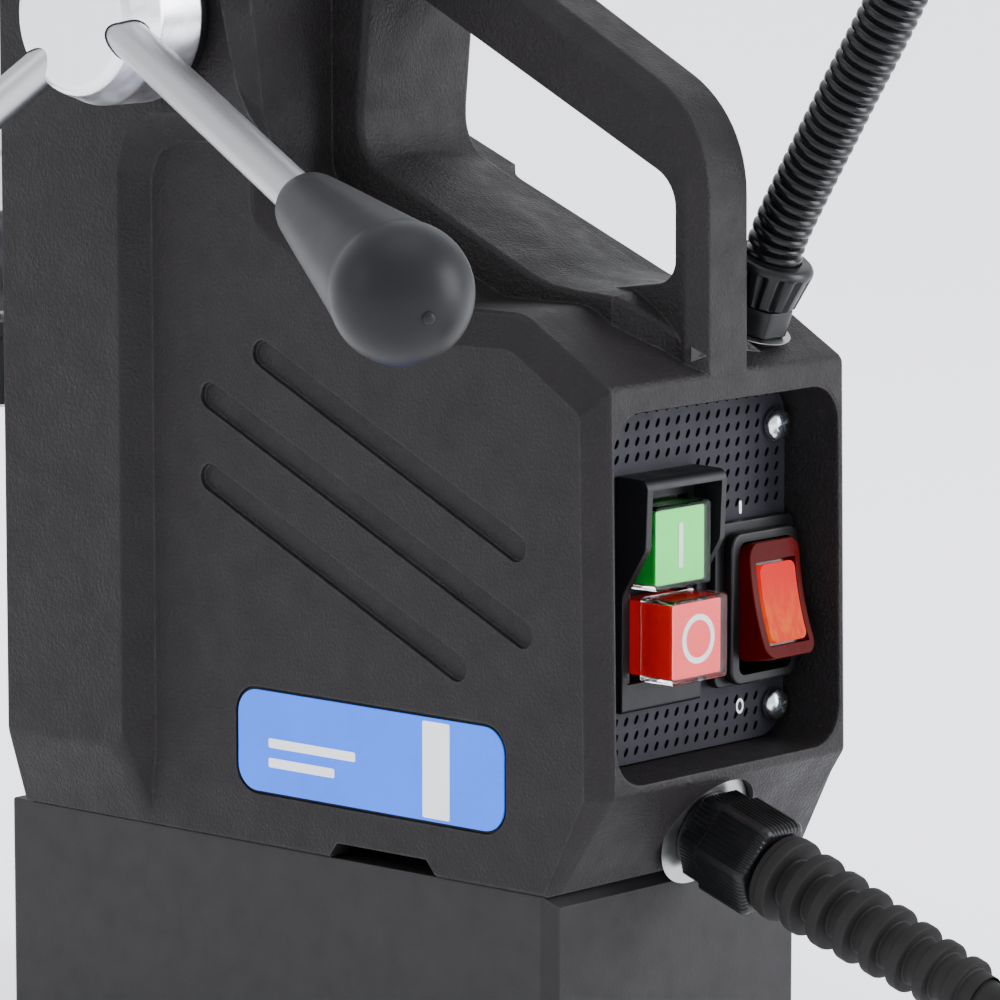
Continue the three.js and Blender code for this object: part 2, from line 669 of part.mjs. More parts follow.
function motorHousing() {
  const { radius, wall, low, high } = MOTOR;
  const tube = ring(radius - wall, radius, V(MOTOR_X, 0, low), V(0, 0, 1), high - low, 28);
  const brushes = bothSides((s) => rod(6.3, V(MOTOR_X, s * 20, 327), V(0, s, 0), 30, 14));
  return without(tube, ...ventSlots(4, 248, 256), ...brushes);
}

const brushCap = (s) => union(
  rod(6, V(MOTOR_X, s * 20, 327), V(0, s, 0), MOTOR.radius - 19, 12),
  box(MOTOR_X - 3, MOTOR_X + 3, Math.min(s * 12.4, s * 21), Math.max(s * 12.4, s * 21), 324, 330),
);

const MOTOR_OUTLET = { at: V(-84, 15, 387), way: V(0.62, 0.1, 0.778).normalize() };
function motorCap() {
  const { radius, wall, high, capTop } = MOTOR;
  const height = capTop - high - GAP;
  const profile = [
    [radius - wall, 0], [radius, 0], [radius, height - 14], [radius - 3, height - 5], [radius - 9, height],
    [0, height], [0, height - 5], [radius - wall - 8, height - 5],
    [radius - wall, height - 16], [radius - wall, 0],
  ];
  const shell = turned(profile, V(MOTOR_X, 0, high + GAP), V(0, 0, 1), 28);
  const boss = rod(12, along(MOTOR_OUTLET, -10), MOTOR_OUTLET.way, 16, 14);
  const bearingSeat = upright(9, MOTOR_X, 0, 380, capTop - 3, 20);
  return without(
    union(shell, boss, bearingSeat),
    upright(4.15, MOTOR_X, 0, 370, 389, 16),
    rod(5, along(MOTOR_OUTLET, -20), MOTOR_OUTLET.way, 30, 12),
    ...ventSlots(4, 352, 366),
  );
}

// ---------------------------------------------------------------- control panel
function controlPlate() {
  const { half, low, high, radius } = PANEL;
  const shape = roundedRectangle(-half + GAP, half - GAP, low + GAP, high - GAP, radius - GAP);
  const x = PANEL.floor + GAP;
  return without(
    prism("x", shape, x, x + PANEL.plate, { segments: 3 }),
    box(70, 90, SWITCH.y - 11.5, SWITCH.y + 11.5, 85.3, 130.3),
    rockerHole(),
    ...SCREWS.map(([y, z]) => rod(2.2, V(70, y, z), V(1, 0, 0), 14, 10)),
  );
}
const rockerHole = () => box(70, 90, ROCKER.y - 9.6, ROCKER.y + 9.6, ROCKER.z - 15.1, ROCKER.z + 15.1);
const PLATE_FACE = PANEL.floor + GAP + PANEL.plate;

function plateScrew([y, z]) {
  const profile = [[0, 0], [1.9, 0], [1.9, 11], [3.5, 11], [3.5, 12], [2.6, 13.2], [0, 13.7]];
  return turned(profile, V(PLATE_FACE + GAP - 11, y, z), V(1, 0, 0), 10);
}

function switchBody() {
  const { y, half, low, high, flange, hood } = SWITCH;
  const back = PLATE_FACE + GAP;
  const side = [
    [back, low], [flange, low], [flange, 107.4], [hood - 0.6, 117.5],
    [hood, 118.5], [hood, high], [back, high],
  ];
  const guard = prism("y", side, y - half, y + half);
  const rear = box(56, back + 0.5, y - 11.1, y + 11.1, 85.8, 129.8);
  return without(
    union(guard, rear),
    box(72.5, 100, y - 9.1, y + 9.1, 88.9, 126.4),
    box(flange - 1, 100, y - 9.6, y + 9.6, 88.9, 129.4),
  );
}

function pushButton(low, face) {
  const { y, cap } = SWITCH;
  return box(76, face, y - cap, y + cap, low, low + 2 * cap);
}

function rockerBlock() {
  const back = PLATE_FACE + GAP;
  const shape = roundedRectangle(9.2, 34.8, 84.5, 119, 2);
  return without(prism("x", shape, back, back + 2.6, { segments: 3 }), rockerHole());
}

function rockerBezel() {
  const { y, z, half } = ROCKER;
  const face = PLATE_FACE + GAP + 2.6 + GAP;
  const shape = roundedRectangle(y - half - 1.2, y + half + 1.2, z - 16, z + 16, 2);
  const rim = prism("x", shape, face, face + 2.2, { segments: 3 });
  const rear = box(60, face + 0.5, y - 9.3, y + 9.3, z - 14.8, z + 14.8);
  return without(union(rim, rear), box(68, 100, y - 8.6, y + 8.6, z - 14, z + 14));
}

// The rocker's side outline about its pivot, tilted so that its upper half is pressed in.
function magnetRocker() {
  const { y, z, x, tilt } = ROCKER;
  const neutral = [
    [-5, -6], [3, -12], [9.6, -12.4], [9, -6], [8.2, 0], [9, 6], [9.6, 12.4], [3, 12], [-5, 6],
  ];
  const cos = Math.cos(degrees(tilt));
  const sin = Math.sin(degrees(tilt));
  const outline = neutral.map(([u, v]) => [x + u * cos - v * sin, z + u * sin + v * cos]);
  return prism("y", outline, y - 8.2, y + 8.2);
}

function circuitBoard() {
  return union(
    box(-8, 52, 24, 25.6, 66, 146),
    box(4, 22, 8, 24.5, 74, 98),
    box(28, 46, 12, 24.5, 80, 92),
    box(2, 30, 14, 24.5, 112, 130),
    rod(5, V(42, 12, 120), V(0, 1, 0), 12.5, 16),
  );
}

// ---------------------------------------------------------------- leads and glands
function along(place, distance) {
  return place.at.clone().addScaledVector(place.way, distance);
}

function hexNut(place, from, length, flats, bore) {
  const g = new THREE.CylinderGeometry(flats / Math.sqrt(3), flats / Math.sqrt(3), length, 6);
  g.translate(0, length / 2, 0);
  const blank = solid(placed(g, along(place, from), place.way));
  return without(blank, rod(bore, along(place, from - 1), place.way, length + 2, 12));
}

function cableGland() {
  const sleeve = ring(5.2, 7.9, along(GLAND, -12), GLAND.way, 14, 12);
  return union(sleeve, hexNut(GLAND, GAP, 7.5, 19, 5.2), hexNut(GLAND, 7, 13, 20, 5.2));
}

function strainRelief() {
  const from = 20.6;
  const length = 58;
  const profile = [[5, 0], [9.4, 0], [6.6, length], [5, length], [5, 0]];
  return turned(profile, along(GLAND, from), GLAND.way, 20);
}
const LEAD_START = along(GLAND, 14);
const LEAD_ROUTE = [
  V(118, 1.5, 45.8), V(140, 1.5, 38.25), V(162, 1.5, 30.7), V(180, 1.5, 23.9),
  V(198, 1.5, 16.2), V(214, 1.5, 9.8), V(226, 1.5, 6.2), V(240.5, 1.5, 4.7),
];

function tube(points, radius, steps, sides) {
  const curve = new THREE.CatmullRomCurve3(points, false, "centripetal");
  const section = new THREE.Shape();
  section.absarc(0, 0, radius, 0, 2 * Math.PI);
  const options = { steps, extrudePath: curve, curveSegments: sides, bevelEnabled: false };
  return solid(new THREE.ExtrudeGeometry(section, options));
}

const mainsCable = () => tube([LEAD_START, ...LEAD_ROUTE], LEAD.diameter / 2, 12, 4);

function mainsCoil() {
  const { coilX, coilInner, coilOuter, coilHeight } = LEAD;
  return ring(coilInner, coilOuter, V(coilX, coilCentreY(), 0), V(0, 0, 1), coilHeight, 32);
}
const coilCentreY = () => 1.5 - LEAD.diameter / 2 + LEAD.coilOuter;

function mainsPlug() {
  const at = V(LEAD.coilX + LEAD.plugX, coilCentreY() + LEAD.plugY, LEAD.coilHeight + 18.8);
  const profile = [[0, 0], [6, 0], [7, 12], [14, 22], [18.5, 30], [18.5, 48], [17, 50], [0, 50]];
  const grip = turned(profile, at, V(0, 1, 0), 16);
  const pins = [-9.5, 9.5].map((x) => rod(2.4, at.clone().add(V(x, 49, 0)), V(0, 1, 0), 19.5, 8));
  return union(grip, ...pins);
}

function conduitFitting() {
  return union(
    ring(4.4, 5.7, along(OUTLET, -10), OUTLET.way, 12, 12),
    ring(4.4, 7.9, along(OUTLET, GAP), OUTLET.way, 4.4, 6),
  );
}

function conduitNut() {
  const [bore, length] = [CONDUIT.radius + GAP, 11.4];
  const profile = [[bore, 0], [7.5, 0], [8.5, length - 2], [8.5, length], [bore, length], [bore, 0]];
  return turned(profile, along(OUTLET, 5), OUTLET.way, 18);
}

const motorFitting = () => ring(6.8, 10.5, along(MOTOR_OUTLET, 6.3), MOTOR_OUTLET.way, 14, 16);

const CONDUIT_MIDDLE = [
  V(91.2, 20, 182.2), V(106.2, 20.3, 207.5), V(118.9, 20.8, 228.8), V(130, 22, 252), V(138, 23.5, 281),
  V(139.5, 25, 313), V(131, 26, 346), V(108, 26.5, 379), V(72, 26, 405), V(28, 25, 421.5), V(-18, 23, 427),
  V(-50, 21, 422),
];
function motorConduit() {
  const route = [
    along(OUTLET, 5.3), along(OUTLET, 15.5),
    ...CONDUIT_MIDDLE,
    along(MOTOR_OUTLET, 22), along(MOTOR_OUTLET, 7),
  ];
  return tube(route, CONDUIT.radius, 32, 4);
}

// ---------------------------------------------------------------- materials and assembly
function finish(color, roughness, metalness) {
  return new THREE.MeshStandardMaterial({ color, roughness, metalness });
}
const PAINT = finish(0x2b2927, 0.75, 0.1);
const STEEL_PAINT = finish(0x3a3a3d, 0.6, 0.2);
const STEEL = finish(0xb9bbbd, 0.35, 0.9);
const ALLOY = finish(0xa9abad, 0.45, 0.8);
const BRONZE = finish(0xa9803f, 0.4, 0.8);
const COPPER = finish(0xa7562f, 0.4, 0.8);
const BLACK = finish(0x17181a, 0.5, 0);
const GREY_PLASTIC = finish(0x3a3b40, 0.5, 0);
const RESIN = finish(0x24262b, 0.4, 0);
const PLATE = finish(0x6a6a74, 0.5, 0.3);
const GREEN = finish(0x2f9a4a, 0.35, 0);
const RED = finish(0xc23a34, 0.35, 0);
const LIT_RED = finish(0xd8301c, 0.25, 0);
const BLUE = finish(0x2f74c8, 0.35, 0);
const BOARD = finish(0x1f6a3a, 0.5, 0);

const root = new THREE.Group();
function add(name, shape, material, group = root) {
  const mesh = new THREE.Mesh(geometryOf(shape), material);
  mesh.name = name;
  group.add(mesh);
}

const base = new THREE.Group();
add("magnet_base", magnetBase(), STEEL_PAINT, base);
add("magnet_coil", magnetCoil(), COPPER, base);
add("coil_potting", coilPotting(), RESIN, base);
root.add(base);

const cast = new THREE.Group();
add("housing", housing(), PAINT, cast);
add("badge_near", badge(-1), BLUE, cast);
add("badge_far", badge(1), BLUE, cast);
add("gib_strip", gibStrip(), BRONZE, cast);
GIB_SCREWS.forEach((z, i) => add(`gib_screw_${i + 1}`, gibScrew(z), STEEL, cast));
add("shaft_bush_near", bush(-1), BRONZE, cast);
add("shaft_bush_far", bush(1), BRONZE, cast);
add("hub_ring", hubRing(), BLACK, cast);
add("circuit_board", circuitBoard(), BOARD, cast);
root.add(cast);

const panel = new THREE.Group();
add("control_plate", controlPlate(), PLATE, panel);
SCREWS.forEach((place, i) => add(`plate_screw_${i + 1}`, plateScrew(place), STEEL, panel));
add("switch_body", switchBody(), BLACK, panel);
add("green_button", pushButton(108.4, 87), GREEN, panel);
add("red_button", pushButton(89.5, 91.5), RED, panel);
add("rocker_block", rockerBlock(), GREY_PLASTIC, panel);
add("rocker_bezel", rockerBezel(), BLACK, panel);
add("magnet_rocker", magnetRocker(), LIT_RED, panel);
root.add(panel);

const leads = new THREE.Group();
add("cable_gland", cableGland(), BLACK, leads);
add("strain_relief", strainRelief(), BLACK, leads);
add("mains_cable", mainsCable(), BLACK, leads);
add("mains_coil", mainsCoil(), BLACK, leads);
add("mains_plug", mainsPlug(), BLACK, leads);
add("conduit_fitting", conduitFitting(), BLACK, leads);
add("conduit_nut", conduitNut(), BLACK, leads);
add("motor_conduit", motorConduit(), BLACK, leads);
root.add(leads);

const feed = new THREE.Group();
add("feed_shaft", feedShaft(), STEEL, feed);
add("feed_hub", feedHub(), STEEL, feed);
for (const k of [0, 1, 2]) {
  add(`feed_rod_${k + 1}`, leverRod(k), STEEL, feed);
  add(`feed_knob_${k + 1}`, leverKnob(k), BLACK, feed);
}
root.add(feed);

const carriage = new THREE.Group();
add("carriage_slide", carriageSlide(), STEEL, carriage);
add("feed_rack", feedRack(), STEEL, carriage);
add("gearbox_housing", gearboxHousing(), ALLOY, carriage);
add("gearbox_cover", gearboxCover(), ALLOY, carriage);
add("spindle_bearing_lower", bearing(TOOL.neckLow + 3.5), STEEL, carriage);
add("spindle_bearing_upper", bearing(GEARBOX.low - 3.5), STEEL, carriage);
add("motor_housing", motorHousing(), BLACK, carriage);
add("motor_cap", motorCap(), BLACK, carriage);
add("field_stator", fieldStator(), STEEL, carriage);
add("brush_cap_near", brushCap(-1), BLACK, carriage);
add("brush_cap_far", brushCap(1), BLACK, carriage);
add("motor_fitting", motorFitting(), BLACK, carriage);
root.add(carriage);

const drive = new THREE.Group();
add("armature_shaft", armatureShaft(), STEEL, drive);
add("armature_core", armatureCore(), STEEL, drive);
add("commutator", commutator(), COPPER, drive);
add("cooling_fan", coolingFan(), GREY_PLASTIC, drive);
add("intermediate_gear", intermediateGear(), STEEL, drive);
add("spindle", spindle(), STEEL, drive);
add("spindle_gear", spindleGear(), STEEL, drive);
add("arbor_screw", arborScrew(), STEEL, drive);
root.add(drive);

export default root;
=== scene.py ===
import math
import bmesh
import bpy
from mathutils import Matrix, Vector


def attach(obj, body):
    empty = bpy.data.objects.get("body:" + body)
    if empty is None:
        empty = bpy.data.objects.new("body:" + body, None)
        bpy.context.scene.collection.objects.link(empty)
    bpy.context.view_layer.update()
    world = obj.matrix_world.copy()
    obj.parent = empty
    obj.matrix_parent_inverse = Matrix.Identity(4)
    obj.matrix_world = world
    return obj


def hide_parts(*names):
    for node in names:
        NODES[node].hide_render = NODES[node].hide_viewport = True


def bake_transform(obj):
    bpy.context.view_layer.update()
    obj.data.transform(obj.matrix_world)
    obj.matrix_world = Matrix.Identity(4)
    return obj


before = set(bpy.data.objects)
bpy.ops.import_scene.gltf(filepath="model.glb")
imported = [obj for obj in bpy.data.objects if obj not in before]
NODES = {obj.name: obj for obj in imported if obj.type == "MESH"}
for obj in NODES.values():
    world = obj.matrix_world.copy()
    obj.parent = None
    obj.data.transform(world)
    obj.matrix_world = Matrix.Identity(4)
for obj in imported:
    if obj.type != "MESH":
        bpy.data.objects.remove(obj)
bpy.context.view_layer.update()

# ------------------------------------------------------------------ driving sizes, millimetres
MM = 0.001
MAGNET = {"length": 160, "width": 80, "height": 48, "chamfer": 2.5}
BODY = {
    "half": 41.4, "cheek": 46.5, "foot": 48.3, "front": -72, "column_rear": -2, "top": 262,
    "rear_low": (94.2, 69.6), "rear_high": (92.9, 152.5), "shelf": (47, 71, 166), "slope": 0.4165,
}
PANEL = {"half": 35.5, "low": 71.5, "high": 146.8, "radius": 8, "floor": 77.2, "face": 79.0}
HUB = {"x": -26, "z": 223, "back": -49.8, "front": -70, "radius": 18.8, "nose": 15.5}
LEVER = {"y": -60.2, "rake": 24.7, "drop": 15.2, "start": 12, "rod": 4.2, "grip": 120.5, "end": 185.4,
         "ball": 13.5}
SWITCH = {"y": -6.9, "half": 12.6, "low": 83, "high": 132, "flange": 81.2, "hood": 88, "cap": 8.75}
ROCKER = {"y": 22.6, "z": 101, "x": 80, "half": 9.8, "tilt": 12.5}
GLAND = {"at": Vector((85.6, 1.5, 57)), "way": Vector((0.9455, 0, -0.3256))}
OUTLET = {"at": Vector((82.2, 20, 159.1)), "way": Vector((0.345, 0, 0.9386))}
MOTOR_OUTLET = {"at": Vector((-84, 15, 387)), "way": Vector((0.62, 0.1, 0.778)).normalized()}
MOTOR = {"x": -118.25, "radius": 38, "low": 243.3, "high": 345, "top": 398}
TOOL = {"x": -132, "front": 34, "rear": 25, "middle": -98.25, "back": -79.3, "low": 175, "high": 235}
LEAD = {"diameter": 9, "x": 274, "y": 61.5, "step": 8.7, "climb": 0.62, "plug": (44, -25, 45.3)}
CONDUIT = {"radius": 6.1, "pitch": 2.55}


def along(place, distance):
    return place["at"] + place["way"] * distance


# ------------------------------------------------------------------ camera
camera_data = bpy.data.cameras.new("camera")
camera_data.sensor_width = 36
camera_data.lens = 213.5
camera_data.clip_start = 0.05
camera_data.clip_end = 60
camera = bpy.data.objects.new("camera", camera_data)
camera.location = (0.85794, -0.92146, 0.30137)
camera.rotation_euler = (math.radians(90 - 8.32), 0, math.radians(41.93))
bpy.context.scene.collection.objects.link(camera)
bpy.context.scene.camera = camera


# ------------------------------------------------------------------ mesh helpers, in millimetres
def link(name, mesh):
    obj = bpy.data.objects.new(name, mesh)
    bpy.context.scene.collection.objects.link(obj)
    return obj


def draft(bm):
    """A working solid, still in millimetres."""
    bmesh.ops.recalc_face_normals(bm, faces=bm.faces)
    mesh = bpy.data.meshes.new("draft")
    bm.to_mesh(mesh)
    bm.free()
    return link("draft", mesh)


def evaluated(obj):
    graph = bpy.context.evaluated_depsgraph_get()
    mesh = bpy.data.meshes.new_from_object(obj.evaluated_get(graph))
    obj.modifiers.clear()
    obj.data = mesh
    return obj


def combine(base, tools, operation):
    for tool in tools:
        step = base.modifiers.new("step", "BOOLEAN")
        step.operation = operation
        step.solver = "MANIFOLD"
        step.object = tool
    evaluated(base)
    for tool in tools:
        bpy.data.objects.remove(tool)
    return base


def cut(base, *tools):
    return combine(base, tools, "DIFFERENCE")


def join(base, *tools):
    return combine(base, tools, "UNION")


def soften(bm, width, steps=2, angle=25):
    """Rounds the edges whose faces meet at more than the angle."""
    if width <= 0:
        return
    bmesh.ops.recalc_face_normals(bm, faces=bm.faces)
    limit = math.radians(angle)
    edges = [e for e in bm.edges if len(e.link_faces) == 2 and e.calc_face_angle(0) > limit]
    bmesh.ops.bevel(
        bm, geom=edges, offset=width, offset_type="OFFSET", segments=steps,
        profile=0.5, affect="EDGES", clamp_overlap=True,
    )


PLACE = {
    "x": lambda u, v, w: Vector((w, u, v)),
    "y": lambda u, v, w: Vector((u, w, v)),
    "z": lambda u, v, w: Vector((u, v, w)),
}


def skin(sections):
    """A closed bmesh over sections of the same number of points, with a flat cap at both ends."""
    bm = bmesh.new()
    rows = [[bm.verts.new(p) for p in section] for section in sections]
    count = len(rows[0])
    for low, high in zip(rows, rows[1:]):
        for i in range(count):
            j = (i + 1) % count
            bm.faces.new((low[i], low[j], high[j], high[i]))
    bm.faces.new(list(reversed(rows[0])))
    bm.faces.new(rows[-1])
    return bm


def prism(axis, outline, low, high, rounding=0, steps=2, angle=25):
    put = PLACE[axis]
    bm = skin([[put(u, v, w) for u, v in outline] for w in (low, high)])
    soften(bm, rounding, steps, angle)
    return draft(bm)


def box(x0, x1, y0, y1, z0, z1, rounding=0, steps=2):
    return prism("z", [(x0, y0), (x1, y0), (x1, y1), (x0, y1)], z0, z1, rounding, steps)


def rounded(corners, steps=6):
    """An outline from (u, v, radius) corners, each turned into an arc."""
    points = []
    count = len(corners)
    for i, (u, v, radius) in enumerate(corners):
        here = Vector((u, v))
        before = (Vector(corners[i - 1][:2]) - here).normalized()
        after = (Vector(corners[(i + 1) % count][:2]) - here).normalized()
        if radius <= 0:
            points.append((u, v))
            continue
        half = math.acos(max(-1, min(1, before.dot(after)))) / 2
        reach = radius / math.tan(half)
        centre = here + (before + after).normalized() * (radius / math.sin(half))
        start = here + before * reach - centre
        turn = (here + after * reach - centre).angle_signed(start)
        for k in range(steps + 1):
            a = turn * k / steps
            points.append((
                centre.x + start.x * math.cos(a) - start.y * math.sin(a),
                centre.y + start.x * math.sin(a) + start.y * math.cos(a),
            ))
    return points


def rectangle(u0, u1, v0, v1, radius, steps=8):
    r = max(radius, 0.01)
    return rounded([(u0, v0, r), (u1, v0, r), (u1, v1, r), (u0, v1, r)], steps)


def capsule(start, end, radius, steps=10):
    heading = math.atan2(end[1] - start[1], end[0] - start[0])
    points = []
    for centre, first in ((end, heading - math.pi / 2), (start, heading + math.pi / 2)):
        for k in range(steps + 1):
            a = first + math.pi * k / steps
            points.append((centre[0] + radius * math.cos(a), centre[1] + radius * math.sin(a)))
    return points


def circle(u, v, radius, steps=32):
    angles = [2 * math.pi * k / steps for k in range(steps)]
    return [(u + radius * math.cos(a), v + radius * math.sin(a)) for a in angles]


def lathed(profile, start, way, segments=48):
    """A turned solid: profile is (radius, distance along way); it begins and ends on the axis or closes."""
    turn = Vector((0, 0, 1)).rotation_difference(Vector(way).normalized())
    bm = bmesh.new()
    rings = []
    for radius, height in profile:
        if radius < 1e-6:
            rings.append([bm.verts.new(Vector(start) + turn @ Vector((0, 0, height)))])
            continue
        ring = []
        for k in range(segments):
            a = 2 * math.pi * k / segments
            ring.append(bm.verts.new(
                Vector(start) + turn @ Vector((radius * math.cos(a), radius * math.sin(a), height))))
        rings.append(ring)
    closed = profile[0] == profile[-1] and profile[0][0] > 1e-6
    if closed:
        for vert in rings.pop():
            bm.verts.remove(vert)
    pairs = list(zip(rings, rings[1:])) + ([(rings[-1], rings[0])] if closed else [])
    for low, high in pairs:
        for k in range(segments):
            j = (k + 1) % segments
            if len(low) == 1 and len(high) == 1:
                continue
            if len(low) == 1:
                bm.faces.new((low[0], high[j], high[k]))
            elif len(high) == 1:
                bm.faces.new((low[k], low[j], high[0]))
            else:
                bm.faces.new((low[k], low[j], high[j], high[k]))
    return draft(bm)


def rod(radius, start, way, length, segments=32):
    return lathed([(0, 0), (radius, 0), (radius, length), (0, length)], start, way, segments)


def washer(inner, outer, height, start, way, segments):
    """A plain ring: a tube of the given height, standing on start."""
    profile = [(inner, 0), (outer, 0), (outer, height), (inner, height), (inner, 0)]
    return lathed(profile, start, way, segments)


def eased(profile, radius, steps=3):
    """The profile with its inner corners rounded."""
    corners = [(u, v, 0 if i in (0, len(profile) - 1) else radius) for i, (u, v) in enumerate(profile)]
    out = [profile[0]]
    for i in range(1, len(corners) - 1):
        here = Vector(profile[i])
        before = Vector(profile[i - 1]) - here
        after = Vector(profile[i + 1]) - here
        reach = min(radius, before.length / 2.2, after.length / 2.2)
        first = here + before.normalized() * reach
        last = here + after.normalized() * reach
        for k in range(steps + 1):
            t = k / steps
            p = first * (1 - t) ** 2 + here * 2 * t * (1 - t) + last * t ** 2
            out.append((p.x, p.y))
    out.append(profile[-1])
    return out


def smooth_line(points, spacing):
    """Points a spacing apart on a Catmull-Rom curve through the given points."""
    ends = [points[0] * 2 - points[1]] + points + [points[-1] * 2 - points[-2]]
    dense = []
    for a, b, c, d in zip(ends, ends[1:], ends[2:], ends[3:]):
        for k in range(40):
            t = k / 40
            dense.append(0.5 * (
                2 * b + (c - a) * t + (2 * a - 5 * b + 4 * c - d) * t ** 2
                + (3 * b - a - 3 * c + d) * t ** 3))
    dense.append(points[-1])
    total = sum((b - a).length for a, b in zip(dense, dense[1:]))
    count = max(2, round(total / spacing))
    step = total / count
    out = [dense[0]]
    travelled = 0
    for a, b in zip(dense, dense[1:]):
        length = (b - a).length
        while len(out) < count and travelled + length >= step * len(out):
            out.append(a.lerp(b, (step * len(out) - travelled) / length))
        travelled += length
    out.append(dense[-1])
    return out


def swept(line, radii, segments=20):
    """A closed tube along a line of points, with a radius for each point."""
    tangents = []
    for i in range(len(line)):
        tangents.append((line[min(i + 1, len(line) - 1)] - line[max(i - 1, 0)]).normalized())
    side = tangents[0].orthogonal().normalized()
    sections = []
    for i, (point, radius) in enumerate(zip(line, radii)):
        if i:
            side = tangents[i - 1].rotation_difference(tangents[i]) @ side
        other = tangents[i].cross(side)
        angles = [2 * math.pi * k / segments for k in range(segments)]
        sections.append([point + (side * math.cos(a) + other * math.sin(a)) * radius for a in angles])
    return draft(skin(sections))


def finished(obj, name, material, body, replaces=(), sharp=32, weighted=True):
    """Turns a working solid into a named piece in metres that rides on its body."""
    obj.name = name
    obj.data.name = name
    obj.data.transform(Matrix.Scale(MM, 4))
    obj.data.materials.clear()
    obj.data.materials.append(material)
    obj.data.shade_smooth()
    obj.data.set_sharp_from_angle(angle=math.radians(sharp))
    if weighted:
        normals = obj.modifiers.new("normals", "WEIGHTED_NORMAL")
        normals.keep_sharp = True
        normals.weight = 60
        evaluated(obj)
        obj.data.name = name
    if body:
        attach(obj, body)
    if replaces:
        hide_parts(*replaces)
    return obj


# ------------------------------------------------------------------ materials
def shader(name):
    made = bpy.data.materials.new(name)
    made.use_nodes = True
    tree = made.node_tree
    tree.nodes.clear()
    out = tree.nodes.new("ShaderNodeOutputMaterial")
    principled = tree.nodes.new("ShaderNodeBsdfPrincipled")
    tree.links.new(principled.outputs["BSDF"], out.inputs["Surface"])
    coordinates = tree.nodes.new("ShaderNodeTexCoord")
    return made, tree, principled, coordinates.outputs["Object"]


def noise(tree, place, size, detail=3, roughness=0.55, stretch=(1, 1, 1)):
    """A noise with features about size millimetres across; stretch lengthens them along an axis."""
    mapping = tree.nodes.new("ShaderNodeMapping")
    mapping.inputs["Scale"].default_value = [1 / s for s in stretch]
    tree.links.new(place, mapping.inputs["Vector"])
    made = tree.nodes.new("ShaderNodeTexNoise")
    made.inputs["Scale"].default_value = 1 / (size * MM)
    made.inputs["Detail"].default_value = detail
    made.inputs["Roughness"].default_value = roughness
    tree.links.new(mapping.outputs["Vector"], made.inputs["Vector"])
    return made.outputs["Fac"]


def ranged(tree, value, low, high, start=0.3, end=0.7):
    made = tree.nodes.new("ShaderNodeMapRange")
    made.inputs["From Min"].default_value = start
    made.inputs["From Max"].default_value = end
    made.inputs["To Min"].default_value = low
    made.inputs["To Max"].default_value = high
    tree.links.new(value, made.inputs["Value"])
    return made.outputs["Result"]


def mixed(tree, factor, first, second):
    made = tree.nodes.new("ShaderNodeMix")
    made.data_type = "RGBA"
    for socket, value in ((made.inputs[0], factor), (made.inputs[6], first), (made.inputs[7], second)):
        if isinstance(value, bpy.types.NodeSocket):
            tree.links.new(value, socket)
        elif isinstance(value, (int, float)):
            socket.default_value = value
        else:
            socket.default_value = (*value, 1)
    return made.outputs[2]


def edges(tree, radius, start, end):
    """1 at edges, 0 on flat faces: how far a rounded normal turns from the face's own."""
    bevel = tree.nodes.new("ShaderNodeBevel")
    bevel.samples = 4
    bevel.inputs["Radius"].default_value = radius * MM
    geometry = tree.nodes.new("ShaderNodeNewGeometry")
    dot = tree.nodes.new("ShaderNodeVectorMath")
    dot.operation = "DOT_PRODUCT"
    tree.links.new(bevel.outputs["Normal"], dot.inputs[0])
    tree.links.new(geometry.outputs["Normal"], dot.inputs[1])
    return ranged(tree, dot.outputs["Value"], 1, 0, start, end)


def surface(name, color, roughness, metallic=0, mottle=0.12, patch=14, grain=0.6, bump=0.25, depth=0.05,
            stretch=(1, 1, 1), wear=0, wear_color=(0.3, 0.3, 0.3), uneven=0.08, coat=0, painted_glint=0,
            shine=0.5):
    """Colour that varies in patches, a fine grain in relief, painted glints that lighten the grain's peaks,
    uneven gloss, and worn edges.
    """
    made, tree, principled, place = shader(name)
    dark = [c * (1 - mottle) for c in color]
    light = [min(1, c * (1 + mottle)) for c in color]
    patches = noise(tree, place, patch, 4)
    base = mixed(tree, ranged(tree, patches, 0, 1), dark, light)
    fine = noise(tree, place, grain, 3, 0.6, stretch)
    if painted_glint:
        # painted highlight: the colour is lightened where the relief's noise peaks, as glints
        glint = ranged(tree, fine, 0, painted_glint, 0.52, 0.72)
        base = mixed(tree, glint, base, [min(1, c * 2.6 + 0.02) for c in color])
    if wear:
        worn = tree.nodes.new("ShaderNodeMath")
        worn.operation = "MULTIPLY"
        tree.links.new(edges(tree, 0.7, 0.86, 0.99), worn.inputs[0])
        tree.links.new(ranged(tree, noise(tree, place, 3.5, 4), 0.25 * wear, wear), worn.inputs[1])
        base = mixed(tree, worn.outputs["Value"], base, wear_color)
    tree.links.new(base, principled.inputs["Base Color"])
    gloss = ranged(tree, noise(tree, place, patch * 0.4, 3), roughness - uneven, roughness + uneven)
    tree.links.new(gloss, principled.inputs["Roughness"])
    principled.inputs["Metallic"].default_value = metallic
    principled.inputs["Specular IOR Level"].default_value = shine
    principled.inputs["Coat Weight"].default_value = coat
    principled.inputs["Coat Roughness"].default_value = 0.12
    if bump:
        relief = tree.nodes.new("ShaderNodeBump")
        relief.inputs["Strength"].default_value = bump
        relief.inputs["Distance"].default_value = depth * MM
        tree.links.new(fine, relief.inputs["Height"])
        tree.links.new(relief.outputs["Normal"], principled.inputs["Normal"])
    return made


